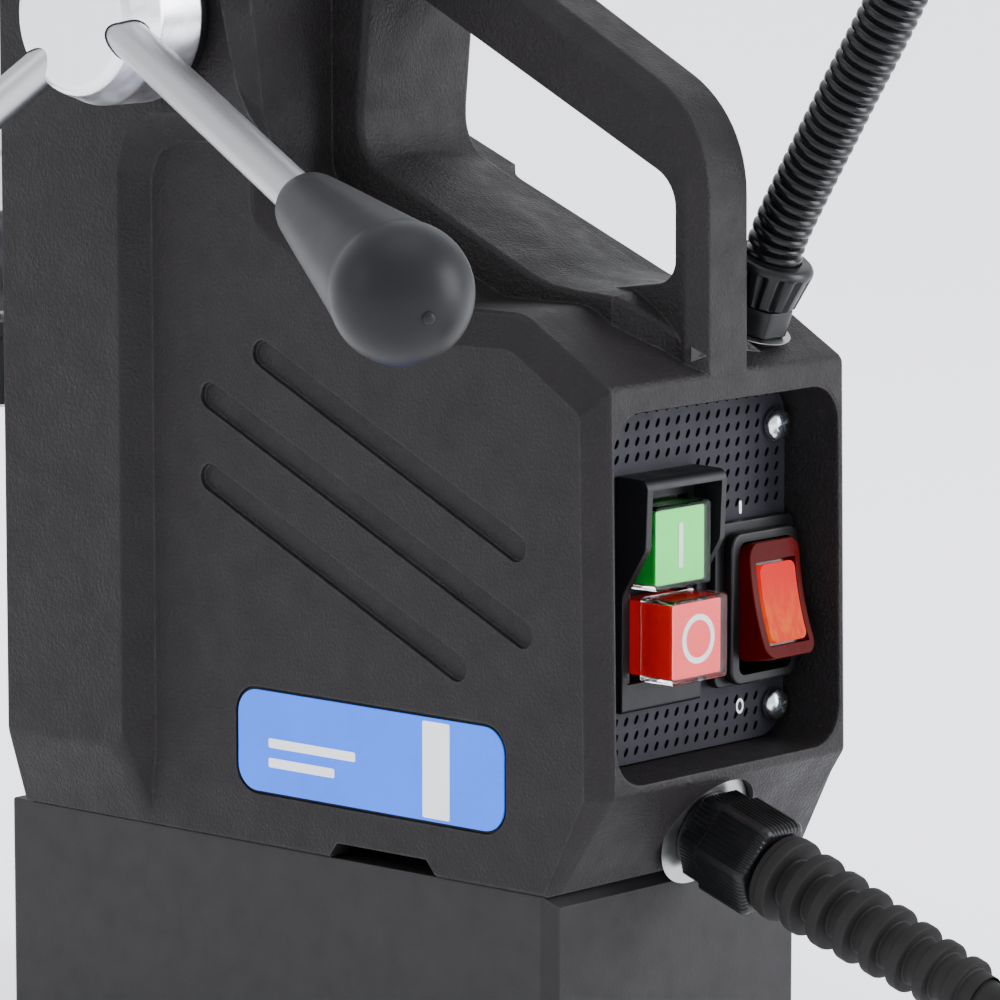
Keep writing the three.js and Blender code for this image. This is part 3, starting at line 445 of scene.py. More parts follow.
COAT = surface("powder_coat", (0.0105, 0.009, 0.0094), 0.46, grain=0.7, bump=1, depth=0.34, mottle=0.14,
               wear=0.3, wear_color=(0.14, 0.135, 0.135), painted_glint=0.12, shine=0.14)
MAGNET_PAINT = surface("magnet_paint", (0.0155, 0.0148, 0.0152), 0.48, grain=0.55, bump=0.45, depth=0.09,
                       mottle=0.06, wear=0.2, wear_color=(0.15, 0.15, 0.155), painted_glint=0.04, shine=0.16)
BLACK = surface("black_plastic", (0.0042, 0.0042, 0.0047), 0.36, grain=0.35, bump=0.15, depth=0.03,
                shine=0.22)
GLOSS_BLACK = surface("gloss_black", (0.0035, 0.0035, 0.004), 0.26, grain=1.2, bump=0.08, depth=0.03,
                      shine=0.22)
GREY = surface("grey_plastic", (0.006, 0.006, 0.007), 0.42, grain=0.4, bump=0.3, depth=0.05, painted_glint=0.02,
               shine=0.2)
KNOB = surface("knob_plastic", (0.0105, 0.0104, 0.0115), 0.4, grain=0.5, bump=0.15, depth=0.03, mottle=0.06,
               uneven=0.02, shine=0.13)
RUBBER = surface("black_rubber", (0.012, 0.0113, 0.0112), 0.66, grain=0.5, bump=0.25, depth=0.05, shine=0.15)
STEEL = surface("ground_steel", (0.4, 0.405, 0.41), 0.34, 1, grain=1.4, bump=0.02, depth=0.01, mottle=0.03,
                patch=40, uneven=0.02)
ALLOY = surface("satin_alloy", (0.5, 0.5, 0.52), 0.34, 1, grain=0.4, bump=0.12, depth=0.02, mottle=0.06)
HUB_METAL = surface("turned_hub", (0.86, 0.86, 0.9), 0.32, 1, grain=0.3, bump=0.06, depth=0.01, mottle=0.04)
ZINC = surface("zinc_steel", (0.62, 0.65, 0.68), 0.22, 1, grain=0.5, bump=0.2, depth=0.03, mottle=0.15)
BRONZE = surface("bronze", (0.5, 0.34, 0.15), 0.35, 1, grain=0.4, bump=0.1, depth=0.02)
COPPER = surface("copper", (0.55, 0.25, 0.13), 0.3, 1, grain=0.5, bump=0.1, depth=0.02)
RESIN = surface("resin", (0.02, 0.022, 0.027), 0.3, grain=2, bump=0.1, depth=0.05)
BOARD = surface("circuit_board", (0.02, 0.12, 0.045), 0.4, grain=1, bump=0.1, depth=0.02)
BARE = surface("bare_spot_face", (0.36, 0.37, 0.36), 0.35, 1, grain=0.3, bump=0.15, depth=0.02)
WHITE_INK = surface("white_ink", (0.8, 0.81, 0.82), 0.4, grain=0.4, bump=0.05, depth=0.01, mottle=0.03)
BADGE_BLUE = surface("badge_blue", (0.018, 0.16, 0.97), 0.3, grain=2.5, bump=0.03, depth=0.01, mottle=0.06,
                     coat=0.05, shine=0.15)


def clear_plastic(name, tint, roughness=0.06):
    made, tree, principled, place = shader(name)
    principled.inputs["Base Color"].default_value = (*tint, 1)
    principled.inputs["Transmission Weight"].default_value = 1
    principled.inputs["IOR"].default_value = 1.22
    gloss = ranged(tree, noise(tree, place, 3, 3), roughness - 0.03, roughness + 0.08)
    tree.links.new(gloss, principled.inputs["Roughness"])
    return made


def glowing(name, color, hot, strength):
    """A lit window: streaked, and yellower towards its lower end."""
    made, tree, principled, place = shader(name)
    streaks = ranged(tree, noise(tree, place, 1.6, 2, 0.5, (1, 1, 2.5)), 0.15, 1, 0.4, 0.7)
    split = tree.nodes.new("ShaderNodeSeparateXYZ")
    tree.links.new(place, split.inputs[0])
    low = ranged(tree, split.outputs["Z"], 1, 0.04, 0.096, 0.107)
    heat = tree.nodes.new("ShaderNodeMath")
    heat.operation = "MULTIPLY"
    tree.links.new(streaks, heat.inputs[0])
    tree.links.new(low, heat.inputs[1])
    blaze = mixed(tree, heat.outputs["Value"], color, hot)
    tree.links.new(mixed(tree, 0.85, blaze, (0.01, 0, 0)), principled.inputs["Base Color"])
    tree.links.new(blaze, principled.inputs["Emission Color"])
    principled.inputs["Specular IOR Level"].default_value = 0.06
    principled.inputs["Emission Strength"].default_value = strength
    principled.inputs["Roughness"].default_value = 0.3
    return made


CLEAR = clear_plastic("clear_cap", (0.98, 0.99, 0.99))
GREEN = surface("green_insert", (0.055, 0.78, 0.1), 0.35, grain=1.5, bump=0.05, depth=0.02, mottle=0.05,
                shine=0.2)
# painted shade: a darker copy of the green insert's colour, for the core's sides
GREEN_SHADED_SIDE = surface("green_shaded_side", (0.01, 0.3, 0.03), 0.35, grain=1.5, bump=0.05, depth=0.02, shine=0.2)
RED = surface("red_insert", (0.97, 0.035, 0.035), 0.35, grain=1.5, bump=0.05, depth=0.02, mottle=0.05,
              shine=0.2)
# painted shade: a darker, deeper copy of the red insert's colour, for the core's sides
RED_SHADED_SIDE = surface("red_shaded_side", (0.75, 0.004, 0.003), 0.3, grain=1.5, bump=0.05, depth=0.02, shine=0.2)
ROCKER_RED = surface("rocker_red", (0.05, 0.0006, 0.0005), 0.3, grain=2, bump=0.04, depth=0.02, shine=0.05)
ROCKER_LIT = glowing("rocker_lit", (1, 0.008, 0.004), (1, 0.2, 0.01), 0.75)


# ------------------------------------------------------------------ housing
def top_height(x):
    low, high, z = BODY["shelf"]
    fall = (z - BODY["rear_high"][1]) / (BODY["rear_high"][0] - high)
    if x < low:
        return z + BODY["slope"] * (low - x)
    return z if x <= high else z - fall * (x - high)


def body_block():
    """Cross-sections from side to side; the outer ones are lower and shorter, which makes the bevels."""
    foot, column = BODY["foot"], BODY["column_rear"]
    low, high, shelf = BODY["shelf"]

    def outline(drop, pull, inset):
        return rounded([
            (BODY["front"], foot + inset, 0),
            (MAGNET["length"] / 2 - inset, foot + inset, 0),
            (BODY["rear_low"][0] - pull, BODY["rear_low"][1], 2.5),
            (BODY["rear_high"][0] - pull, BODY["rear_high"][1] - drop * 0.66, 2.2),
            (high - 1, shelf - drop * 0.9, 10),
            (low, shelf - drop, 10),
            (column - inset, top_height(column) - drop, 9),
            (column - inset, BODY["top"] - inset, 1.5),
            (BODY["front"], BODY["top"] - inset, 0),
        ], 5)

    half = BODY["half"]
    rows = [(half, 7.6, 4.2, 0.5), (half - 0.45, 6.7, 3.7, 0), (half - 3.9, 0.6, 0.6, 0),
            (half - 4.9, 0, 0, 0)]
    stations = [(-y, d, p, i) for y, d, p, i in rows] + [(y, d, p, i) for y, d, p, i in reversed(rows)]
    return draft(skin([[PLACE["y"](u, v, y) for u, v in outline(d, p, i)] for y, d, p, i in stations]))


CHEEK_FOOT = [
    (-72, 48.8, 0), (-33.1, 48.8, 3), (-31.5, 66, 8), (-31.5, 188, 7), (-28.5, 193.8, 5), (-22, 195.8, 3),
    (3, 196.6, 0), (0.5, 204, 10), (-2.2, 224, 14), (-2.2, 261.6, 0), (-72, 261.6, 0),
]
CHEEK_TOP = [
    (-72, 65, 0), (-36.2, 65, 4), (-36.6, 70, 8), (-36.6, 189.5, 7), (-33.4, 198, 5), (-27, 201.6, 3),
    (2.2, 203, 0), (-1.2, 209, 12), (-5.6, 226, 18), (-6.2, 258, 3), (-72, 258, 0),
]


def cheek(side):
    """The proud column side: its step is a slope with soft upper and lower edges."""
    def level(share, y):
        blend = [
            (a[0] + (b[0] - a[0]) * share, a[1] + (b[1] - a[1]) * share, max(a[2], b[2]))
            for a, b in zip(CHEEK_FOOT, CHEEK_TOP)
        ]
        return [PLACE["y"](u, v, side * y) for u, v in rounded(blend, 5)]
    half, proud = BODY["half"], BODY["cheek"]
    rows = [(0, half - 1), (0, half), (0.9, proud - 0.5), (0.97, proud - 0.16), (1.05, proud)]
    return draft(skin([level(share, y) for share, y in rows]))


def handle():
    """A bar with chamfered outer edges, pierced by the finger opening."""
    def outline(inset):
        top, rear = 259.4 - inset / 0.882, 92.4 - inset
        return rounded([
            (-10, 170, 0), (60, 150, 0), (91 - inset, 140, 0), (92.7 - inset, 152.5, 0),
            (rear, top - 0.535 * (rear + 10), 27 - inset), (-10, top, 0),
        ], 12)
    hole = rounded([
        (3, 232.6, 1), (3, 187, 1), (56, 166.5, 4), (68, 168.8, 4), (86.3, 171.4, 5), (86.2, 191.4, 8.5),
    ], 8)
    rows = [(-9.5, 3.6), (-5.9, 0), (5.9, 0), (9.5, 3.6)]
    blank = draft(skin([[Vector((u, y, v)) for u, v in outline(inset)] for y, inset in rows]))
    cut(blank, prism("y", hole, -12, 12))
    bm = bmesh.new()
    bm.from_mesh(blank.data)
    bmesh.ops.dissolve_limit(bm, angle_limit=math.radians(0.5), verts=bm.verts, edges=bm.edges)
    sharp = [
        e for e in bm.edges
        if len(e.link_faces) == 2 and e.calc_face_angle(0) > math.radians(30)
        and max(v.co.x for v in e.verts) > -9.9
    ]
    bmesh.ops.bevel(bm, geom=sharp, offset=0.6, offset_type="OFFSET", segments=2, profile=0.5,
                    affect="EDGES", clamp_overlap=True)
    bm.to_mesh(blank.data)
    bm.free()
    return blank


def ridge():
    """The saddle under the finger opening: a nearly flat crown with soft shoulders and upright flanks."""
    stations = [
        (-3, 17, 196.9), (27, 17, 183.3), (54, 17, 171.1), (59, 17, 169.5), (65, 17, 168.8), (76, 17, 168.2),
        (80, 14.6, 166.2), (84, 11.4, 163.4), (88.8, 9.2, 159.6), (92.2, 5.8, 156.7),
    ]
    sections = []
    for x, half, crown in stations:
        top = rounded([(-half, crown - 14, 0), (-half, crown, 1.3), (0, crown + 1.1, 60), (half, crown, 1.3),
                       (half, crown - 14, 0)], 5)
        sections.append([Vector((x, y, z)) for y, z in top])
    return draft(skin(sections))


def pilaster():
    """Closes the finger opening at the column; its foot runs out onto the saddle in a long curve."""
    side = [
        (-4, 184, 0), (24, 182, 0), (19, 187.2, 3), (6, 193, 10), (6.2, 202, 6), (9, 232, 5), (-4, 248, 0),
    ]
    return prism("y", rounded(side, 8), -17, 17, 1.6, 4, 40)


def far_relief():
    """A relief in the column's far side, round the shaft's end; its floor follows the sloping top."""
    plan = rounded([
        (-44, 60, 0), (-44, 38, 2), (-39.5, 33.2, 3), (-12.5, 33.2, 4), (-2, 22.6, 2), (6, 22.6, 0),
        (6, 60, 0),
    ], 5)
    low, shelf = BODY["shelf"][0], BODY["shelf"][2]
    floor = [Vector((x, y, shelf + BODY["slope"] * (low - x))) for x, y in plan]
    return draft(skin([floor, [Vector((x, y, BODY["top"] + 8)) for x, y in plan]]))


def flared(axis, shape, floor, face, outside, flare, side=1, lean=0):
    """A cutter whose floor and mouth are rounded: shape(offset) is its outline, grown by the offset."""
    rows = [(floor, -flare), (floor + flare * 0.3, -flare * 0.3), (floor + flare, 0), (face - flare, 0),
            (face - flare * 0.3, flare * 0.3), (face, flare), (outside, flare + outside - face)]
    sections = []
    for level, offset in rows:
        tilt = lean if level >= face - flare - 1e-6 else 0
        sections.append([PLACE[axis](u, v, side * (level + tilt * v)) for u, v in shape(offset)])
    return draft(skin(sections))


GROOVES = [((0.8, 152.6), (71.5, 119)), ((-14.5, 142.5), (73.4, 101.5)), ((-14.7, 125.2), (55.4, 92.6))]
BADGE = {"x0": -7.6, "x1": 69, "z0": 59.1, "z1": 82, "radius": 6, "depth": 1}
STRAP_SLOT = [(19.4, 40), (19.4, 48.3), (21.8, 51.6), (47, 51.6), (49.8, 48.3), (49.8, 40)]
SCREWS = [(-31.2, 78.3), (31.2, 78.3), (-31.2, 137.8), (31.2, 137.8)]


def housing_piece():
    shell = join(body_block(), cheek(-1), cheek(1), ridge(), handle(), pilaster())
    half = BODY["half"]
    tools = []
    for side in (-1, 1):
        for start, end in GROOVES:
            tools.append(flared("y", lambda o: capsule(start, end, 2.85 + o), half - 1.3, half, half + 3,
                                0.35, side))
        b = BADGE
        tools.append(flared(
            "y", lambda o: rectangle(b["x0"] - o, b["x1"] + o, b["z0"] - o, b["z1"] + o, b["radius"] + o),
            half - b["depth"], half, half + 3, 0.3, side))
    lean = (BODY["rear_low"][0] - BODY["rear_high"][0]) / (BODY["rear_high"][1] - BODY["rear_low"][1])
    p = PANEL
    face = BODY["rear_low"][0] + lean * BODY["rear_low"][1]
    tools.append(flared(
        "x", lambda o: rectangle(-p["half"] - o, p["half"] + o, p["low"] - o, p["high"] + o,
                                 p["radius"] + o),
        p["floor"], face, face + 6, 0.9, 1, -lean))
    tools.append(box(60, p["floor"] + 1, -33, 33, 81.4, 135))
    bay = [(-22, 40), (72, 40), (73, 75), (73, 144), (60, 157), (45, 158), (-22, 172)]
    tools.append(prism("y", bay, -35.5, 35.5))
    tools.append(prism("y", STRAP_SLOT, -60, 60))
    slide = [(-73, -21.4), (-72, -22), (-57.5, -30.4), (-57.5, 30.4), (-72, 22), (-73, 21.4)]
    tools.append(prism("z", slide, 40, 270))
    tools.append(box(-58, -33.5, -11, 11, 40, 270))
    tools.append(rod(13.3, (HUB["x"], -60, HUB["z"]), (0, 1, 0), 120, 48))
    tools.append(far_relief())
    tools.append(rod(12.9, GLAND["at"], GLAND["way"], 24, 48))
    tools.append(rod(8.2, along(GLAND, -16), GLAND["way"], 20, 32))
    tools.append(rod(9.8, OUTLET["at"], OUTLET["way"], 16, 40))
    tools.append(rod(6, along(OUTLET, -20), OUTLET["way"], 22, 32))
    for z in (110, 200):
        tools.append(rod(2.7, (-65, 20, z), (0, 1, 0), 30, 20))
    return cut(shell, *tools)


finished(housing_piece(), "housing_shell", COAT, "frame", ["housing"], 26)


# ------------------------------------------------------------------ magnet
def magnet_piece():
    hx, hy, c = MAGNET["length"] / 2, MAGNET["width"] / 2, MAGNET["chamfer"]
    plan = [
        (-hx + c, -hy), (hx - c, -hy), (hx, -hy + c), (hx, hy - c), (hx - c, hy), (-hx + c, hy),
        (-hx, hy - c), (-hx, -hy + c),
    ]
    block = prism("z", plan, 0, MAGNET["height"], 0.5, 2, 20)
    slopes = [
        prism("y", [(s * hx, 45.5), (s * (hx + 1), 45.5), (s * (hx + 1), 49), (s * (hx - c), 49),
                    (s * (hx - c), 48)], -hy - 1, hy + 1)
        for s in (-1, 1)
    ]
    trench = prism("z", rectangle(-62, 62, -29, 29, 8), -1, 36)
    pole = prism("z", rectangle(-48, 48, -15, 15, 3), -2, 37)
    cut(trench, pole)
    return cut(block, *slopes, trench, rod(4, (55, 0, 35), (0, 0, 1), 14, 24))


finished(magnet_piece(), "magnet_block", MAGNET_PAINT, "frame", ["magnet_base"])


# ------------------------------------------------------------------ badges: plain blue with pale bars
def badge_pieces(side, word):
    b = BADGE
    half = BODY["half"]

    def layer(inset, low, high):
        edge = 0.6 + inset
        outline = rectangle(b["x0"] + edge, b["x1"] - edge, b["z0"] + edge, b["z1"] - edge,
                            b["radius"] - edge)
        return prism("y", outline, min(side * low, side * high), max(side * low, side * high), 0.18, 2, 40)
    plate = layer(0, half - 0.7, half - 0.12)
    finished(plate, f"badge_{word}_plate", BADGE_BLUE, "frame", [f"badge_{word}"])
    bars = [(46, 53.5, 60.4, 80.6), (2, 27, 69.4, 71.4), (2, 21, 65.2, 67.2)]
    for i, (x0, x1, z0, z1) in enumerate(bars):
        if side > 0:
            x0, x1 = b["x0"] + b["x1"] - x1, b["x0"] + b["x1"] - x0
        y = sorted((side * (half - 0.14), side * (half - 0.06)))
        bar = prism("y", rectangle(x0, x1, z0, z1, 0.4, 3), *y)
        finished(bar, f"badge_{word}_bar_{i + 1}", WHITE_INK, "frame", weighted=False)


badge_pieces(-1, "near")
badge_pieces(1, "far")


# ------------------------------------------------------------------ feed hub and levers
def lever_line(k):
    turn = math.radians(-LEVER["drop"] + 120 * k)
    rake = math.radians(LEVER["rake"])
    way = Vector((math.cos(turn) * math.cos(rake), -math.sin(rake), math.sin(turn) * math.cos(rake)))
    return Vector((HUB["x"], LEVER["y"], HUB["z"])), way


def hub_piece():
    depth = HUB["back"] - HUB["front"]
    r, n = HUB["radius"], HUB["nose"]
    profile = [(8.3, 0), (r - 0.6, 0), (r, 0.6), (r, depth * 0.6), (r - 0.9, depth * 0.72)]
    profile += [(n + 0.9, depth - 1.2), (n, depth - 0.35), (n - 0.9, depth), (0, depth)]
    profile += [(0, depth - 5.8), (8.3, depth - 5.8), (8.3, 0)]
    blank = lathed([(8.3, 0.0)] + eased(profile[1:9], 0.5, 2) + profile[9:11] + [(8.3, 0.0)],
                   (HUB["x"], HUB["back"], HUB["z"]), (0, -1, 0), 96)
    sockets = []
    for k in range(3):
        start, way = lever_line(k)
        sockets.append(rod(LEVER["rod"] + 0.3, start + way * 11.5, way, 100, 40))
    return cut(blank, *sockets)


finished(hub_piece(), "feed_hub_turned", HUB_METAL, "feed", ["feed_hub"], 30)
finished(lathed(eased([(10.5, 0), (17.4, 0), (17.4, 2.6), (10.5, 2.6)], 0.3, 2) + [(10.5, 0)],
                (HUB["x"], -49.5, HUB["z"]), (0, 1, 0), 64),
         "hub_seal", BLACK, "frame", ["hub_ring"])


def knob_profile():
    """From the rod outwards: a rounded shoulder, a widening neck and a ball with a small moulding nub."""
    length = LEVER["end"] - LEVER["grip"]
    ball = LEVER["ball"]
    centre = length - ball
    neck = [(4.45, 0.25), (4.8, 0), (5.5, 0.3), (6.25, 1.1), (6.8, 2.3), (7.15, 3.8), (7.45, 5.8)]
    seen = [(5.8, 7.45), (18, 9.05), (29.5, 10.5), (38, 11.62), (41.2, 12.02), (44, 12.4)]
    low = math.radians(-19)
    seen.append((centre + ball * math.sin(low), ball * math.cos(low)))
    for p in smooth_line([Vector((r, t, 0)) for t, r in seen], 1.6)[1:]:
        neck.append((p.x, p.y))
    cap = []
    for k in range(1, 25):
        a = low + (math.radians(88) - low) * k / 24
        cap.append((ball * math.cos(a), centre + ball * math.sin(a)))
    nub = [(1.25, length - 0.06), (1.15, length + 0.45), (0.8, length + 0.75), (0.35, length + 0.86),
           (0, length + 0.88)]
    return neck + [p for p in cap if p[0] > 1.3] + nub


for k in range(3):
    start, way = lever_line(k)
    length = LEVER["grip"] + 12 - LEVER["start"]
    outline = eased([(0, 0), (LEVER["rod"], 0), (LEVER["rod"], length), (0, length)], 0.5, 3)
    bar = lathed(outline, start + way * LEVER["start"], way, 48)
    finished(bar, f"lever_rod_{k + 1}", STEEL, "feed", [f"feed_rod_{k + 1}"])
    profile = [(0, 13.9), (4.3, 13.9), (4.3, 0.6)] + knob_profile()
    knob = lathed(profile, start + way * LEVER["grip"], way, 64)
    finished(knob, f"lever_knob_{k + 1}", KNOB, "feed", [f"feed_knob_{k + 1}"], 45)


# ------------------------------------------------------------------ control panel
def plate_piece():
    p = PANEL
    outline = rectangle(-p["half"] + 0.3, p["half"] - 0.3, p["low"] + 0.3, p["high"] - 0.3,
                        p["radius"] - 0.3)
    plate = prism("x", outline, p["face"] - 1.5, p["face"], 0.15, 2, 40)
    dots = bmesh.new()
    pitch, slant = 3.2, 0.42
    rows = range(-2, 24)
    for i in range(-10, 11):
        for j in rows:
            y, z = i * pitch + 0.4, 74.4 + j * pitch
            if abs(y) > 32.6 or z < 73.4 or z > 144.8:
                continue
            if min(math.hypot(y - a, z - b) for a, b in SCREWS) < 4.6:
                continue
            if SWITCH["y"] - 13 < y < SWITCH["y"] + 13 and 82.4 < z < 133:
                continue
            if 8 < y < 36 and 83.6 < z < 119.8:
                continue
            outline = [
                (y + 0.62 * u + slant * 0.95 * v, z + 0.98 * v)
                for u, v in circle(0, 0, 1, 10)
            ]
            rings = [[dots.verts.new(PLACE["x"](u, v, w)) for u, v in outline]
                     for w in (p["face"] - 0.7, p["face"] + 1)]
            for a in range(10):
                b = (a + 1) % 10
                dots.faces.new((rings[0][a], rings[0][b], rings[1][b], rings[1][a]))
            dots.faces.new(list(reversed(rings[0])))
            dots.faces.new(rings[1])
    s = SWITCH
    tools = [draft(dots), box(70, 90, s["y"] - 11.5, s["y"] + 11.5, 85.3, 130.3),
             box(70, 90, ROCKER["y"] - 9.6, ROCKER["y"] + 9.6, 85.9, 116.1)]
    tools += [rod(2.2, (70, y, z), (1, 0, 0), 14, 24) for y, z in SCREWS]
    return cut(plate, *tools)


def plate_material():
    """Grey-violet face; below the face, in the dots' pits, the colour is painted nearly black as shade."""
    made, tree, principled, place = shader("perforated_plate")
    split = tree.nodes.new("ShaderNodeSeparateXYZ")
    tree.links.new(place, split.inputs[0])
    # painted shade: 1 on the face, 0 below it, where the pits are painted nearly black
    depth = ranged(tree, split.outputs["X"], 0, 1, (PANEL["face"] - 0.25) * MM, (PANEL["face"] - 0.05) * MM)
    tone = ranged(tree, noise(tree, place, 9, 4), 0, 1)
    face = mixed(tree, tone, (0.019, 0.0183, 0.0232), (0.025, 0.0242, 0.0305))
    tree.links.new(mixed(tree, depth, (0.003, 0.003, 0.004), face), principled.inputs["Base Color"])
    principled.inputs["Specular IOR Level"].default_value = 0.1
    tree.links.new(ranged(tree, noise(tree, place, 5, 3), 0.4, 0.55), principled.inputs["Roughness"])
    relief = tree.nodes.new("ShaderNodeBump")
    relief.inputs["Strength"].default_value = 0.25
    relief.inputs["Distance"].default_value = 0.04 * MM
    tree.links.new(noise(tree, place, 0.5), relief.inputs["Height"])
    tree.links.new(relief.outputs["Normal"], principled.inputs["Normal"])
    return made


finished(plate_piece(), "panel_plate", plate_material(), "frame", ["control_plate"])

INK = 0.06  # thickness of the printed marks
x = PANEL["face"]
tick = prism("x", rectangle(20.2, 21, 119.9, 122.6, 0.3, 3), x, x + INK)
finished(tick, "mark_on", WHITE_INK, "frame", weighted=False)
nought = washer(0.75, 1.2, INK, (x, 20.8, 79.2), (1, 0, 0), 24)
MARK_CENTRE = Matrix.Translation((0, 0, 79.2))
nought.data.transform(MARK_CENTRE @ Matrix.Diagonal((1, 1, 1.35, 1)) @ Matrix.Translation((0, 0, -79.2)))
finished(nought, "mark_off", WHITE_INK, "frame", weighted=False)


def pan_head(y, z):
    """A domed head with a cross recess."""
    x = PANEL["face"] + 0.3
    dome = [(0, -11), (1.9, -11), (1.9, 0), (3.3, 0), (3.5, 0.25), (3.5, 0.9)]
    crown = [math.radians(9 * k) for k in range(1, 10)]
    dome += [(3.5 * math.cos(a), 0.9 + 1.75 * math.sin(a)) for a in crown]
    dome.append((0, 2.65))
    head = lathed(dome, (x, y, z), (1, 0, 0), 40)
    arms = []
    for turn in (25, 115):
        a = math.radians(turn)
        outline = []
        for u, v in ((-1.75, -0.36), (1.75, -0.36), (1.75, 0.36), (-1.75, 0.36)):
            outline.append((y + u * math.cos(a) - v * math.sin(a), z + u * math.sin(a) + v * math.cos(a)))
        arms.append(prism("x", outline, x + 1.1, x + 4))
    return cut(head, *arms)


for i, (y, z) in enumerate(SCREWS):
    finished(pan_head(y, z), f"pan_screw_{i + 1}", ZINC, "frame", [f"plate_screw_{i + 1}"], 35)


# ------------------------------------------------------------------ push buttons
def switch_piece():
    s = SWITCH
    back = PANEL["face"] + 0.3
    side = [(back, s["low"], 0), (s["flange"], s["low"], 0.8), (s["flange"], 107.4, 4),
            (s["hood"] - 0.6, 117.5, 2.5), (s["hood"], s["high"] - 0.2, 2), (back, s["high"], 0)]
    guard = prism("y", rounded(side, 4), s["y"] - s["half"], s["y"] + s["half"], 0.35, 2, 40)
    rear = box(56, back + 0.5, s["y"] - 11.1, s["y"] + 11.1, 85.8, 129.8, 0.5)
    join(guard, rear)
    return cut(
        guard,
        box(72.5, 100, s["y"] - 9.1, s["y"] + 9.1, 88.9, 126.4),
        box(s["flange"] - 1, 100, s["y"] - 10.9, s["y"] + 10.9, 88.9, 129.6, 0.3),
        box(s["flange"] + 0.6, 100, s["y"] - 10.9, s["y"] + 10.9, 80, 107, 0),
    )


finished(switch_piece(), "switch_housing", GREY, "frame", ["switch_body"])


def button(word, low, face, body, top_material, shaded_side_material, mark):
    """A coloured core under a clear moulded cap, with its mark printed on the core; the core's sides take a
    darker copy of the colour as painted shade.
    """
    s = SWITCH
    y0, y1, z0, z1 = s["y"] - s["cap"], s["y"] + s["cap"], low, low + 2 * s["cap"]
    cap = prism("x", rectangle(y0, y1, z0, z1, 0.8, 4), face - 9, face, 0.5, 3, 40)
    hollow = prism("x", rectangle(y0 + 0.9, y1 - 0.9, z0 + 0.9, z1 - 0.9, 0.5, 4), face - 10, face - 0.9)
    cut(cap, hollow)
    finished(cap, f"{word}_cap", CLEAR, body, [f"{word}_button"])
    core = box(76, face - 1.6, y0 + 1.3, y1 - 1.3, z0 + 1.0, z1 - 1.0, 0.35)
    # painted shade: the core's sides get the darker copy of the insert's colour
    finished(core, f"{word}_core", shaded_side_material, body)
    lid = prism("x", rectangle(y0 + 1.35, y1 - 1.35, z0 + 1.05, z1 - 1.05, 0.5, 4),
                face - 1.55, face - 1.2, 0.1)
    finished(lid, f"{word}_lid", top_material, body)
    finished(mark(face - 1.19, s["y"], (z0 + z1) / 2), f"{word}_mark", WHITE_INK, body, weighted=False)


def bar_mark(x, y, z):
    return prism("x", rectangle(y - 0.6, y + 0.6, z - 4.65, z + 4.65, 0.3, 3), x, x + 0.08)


def ring_mark(x, y, z):
    return washer(3.9, 5.1, 0.08, (x, y + 0.3, z), (1, 0, 0), 64)


button("green", 108.4, 87, "green_button", GREEN, GREEN_SHADED_SIDE, bar_mark)
button("red", 89.5, 91.5, "red_button", RED, RED_SHADED_SIDE, ring_mark)


# ------------------------------------------------------------------ lit rocker
def rocker_pieces():
    r = ROCKER
    back = PANEL["face"] + 0.3
    block = prism("x", rectangle(9.2, 34.8, 84.5, 119, 2), back, back + 2.6, 0.5, 2, 40)
    cut(block, box(70, 90, r["y"] - 9.6, r["y"] + 9.6, 85.9, 116.1))
    finished(block, "rocker_surround", GREY, "frame", ["rocker_block"])
    face = back + 2.9
    shape = rectangle(r["y"] - r["half"] - 1.2, r["y"] + r["half"] + 1.2, r["z"] - 16, r["z"] + 16, 3.4)
    rim = prism("x", shape, face, face + 2.2, 0.6, 3, 40)
    join(rim, box(60, face + 0.5, r["y"] - 9.3, r["y"] + 9.3, r["z"] - 14.8, r["z"] + 14.8))
    cut(rim, prism("x", rectangle(r["y"] - 8.6, r["y"] + 8.6, r["z"] - 14, r["z"] + 14, 2), 68, 100))
    finished(rim, "rocker_frame", BLACK, "frame", ["rocker_bezel"])


rocker_pieces()


def rocker_outline(grow, front):
    """The rocker's side outline round its pivot, neutral: two raised ends and a hollow between them."""
    half = 12.4 + grow
    points = [(-5, -6), (2, -half + 0.4), (7.6, -half)]
    for k in range(13):
        t = -1 + 2 * k / 12
        points.append((front + 1.25 * t * t + grow, t * (half - 0.2)))
    return points + [(7.6, half), (2, half - 0.4), (-5, 6)]


def tipped(points):
    r = ROCKER
    a = math.radians(r["tilt"])
    return [(r["x"] + u * math.cos(a) - v * math.sin(a), r["z"] + u * math.sin(a) + v * math.cos(a))
            for u, v in points]


def trimmed(blank, y0, y1, v0, v1, radius, rounding):
    """Rounds the rocker's outline as seen from the front, then eases its edges."""
    sections = []
    for u in (-8, 18):
        ring = []
        for y, v in rectangle(y0, y1, v0, v1, radius, 6):
            x, z = tipped([(u, v)])[0]
            ring.append(Vector((x, y, z)))
        sections.append(ring)
    combine(blank, [draft(skin(sections))], "INTERSECT")
    bm = bmesh.new()
    bm.from_mesh(blank.data)
    bmesh.ops.dissolve_limit(bm, angle_limit=math.radians(0.5), verts=bm.verts, edges=bm.edges)
    soften(bm, rounding, 3, 30)
    bm.to_mesh(blank.data)
    bm.free()
    return blank


def rocker_body():
    y = ROCKER["y"]
    blank = prism("y", tipped(rocker_outline(0, 8.3)), y - 8.2, y + 8.2)
    return trimmed(blank, y - 8.2, y + 8.2, -12.35, 12.35, 3.4, 0.8)


def rocker_window():
    """The lit lens: a raised panel that follows the rocker's hollow face."""
    y = ROCKER["y"]
    front = []
    for k in range(11):
        t = -0.74 + 1.36 * k / 10
        front.append((8.3 + 1.25 * t * t + 0.35, t * 12.2))
    outline = [(7.2, -9)] + front + [(7.2, 7.5)]
    return trimmed(prism("y", tipped(outline), y - 5.6, y + 5.8), y - 5.6, y + 5.8, -9, 7.5, 1.8, 0.25)


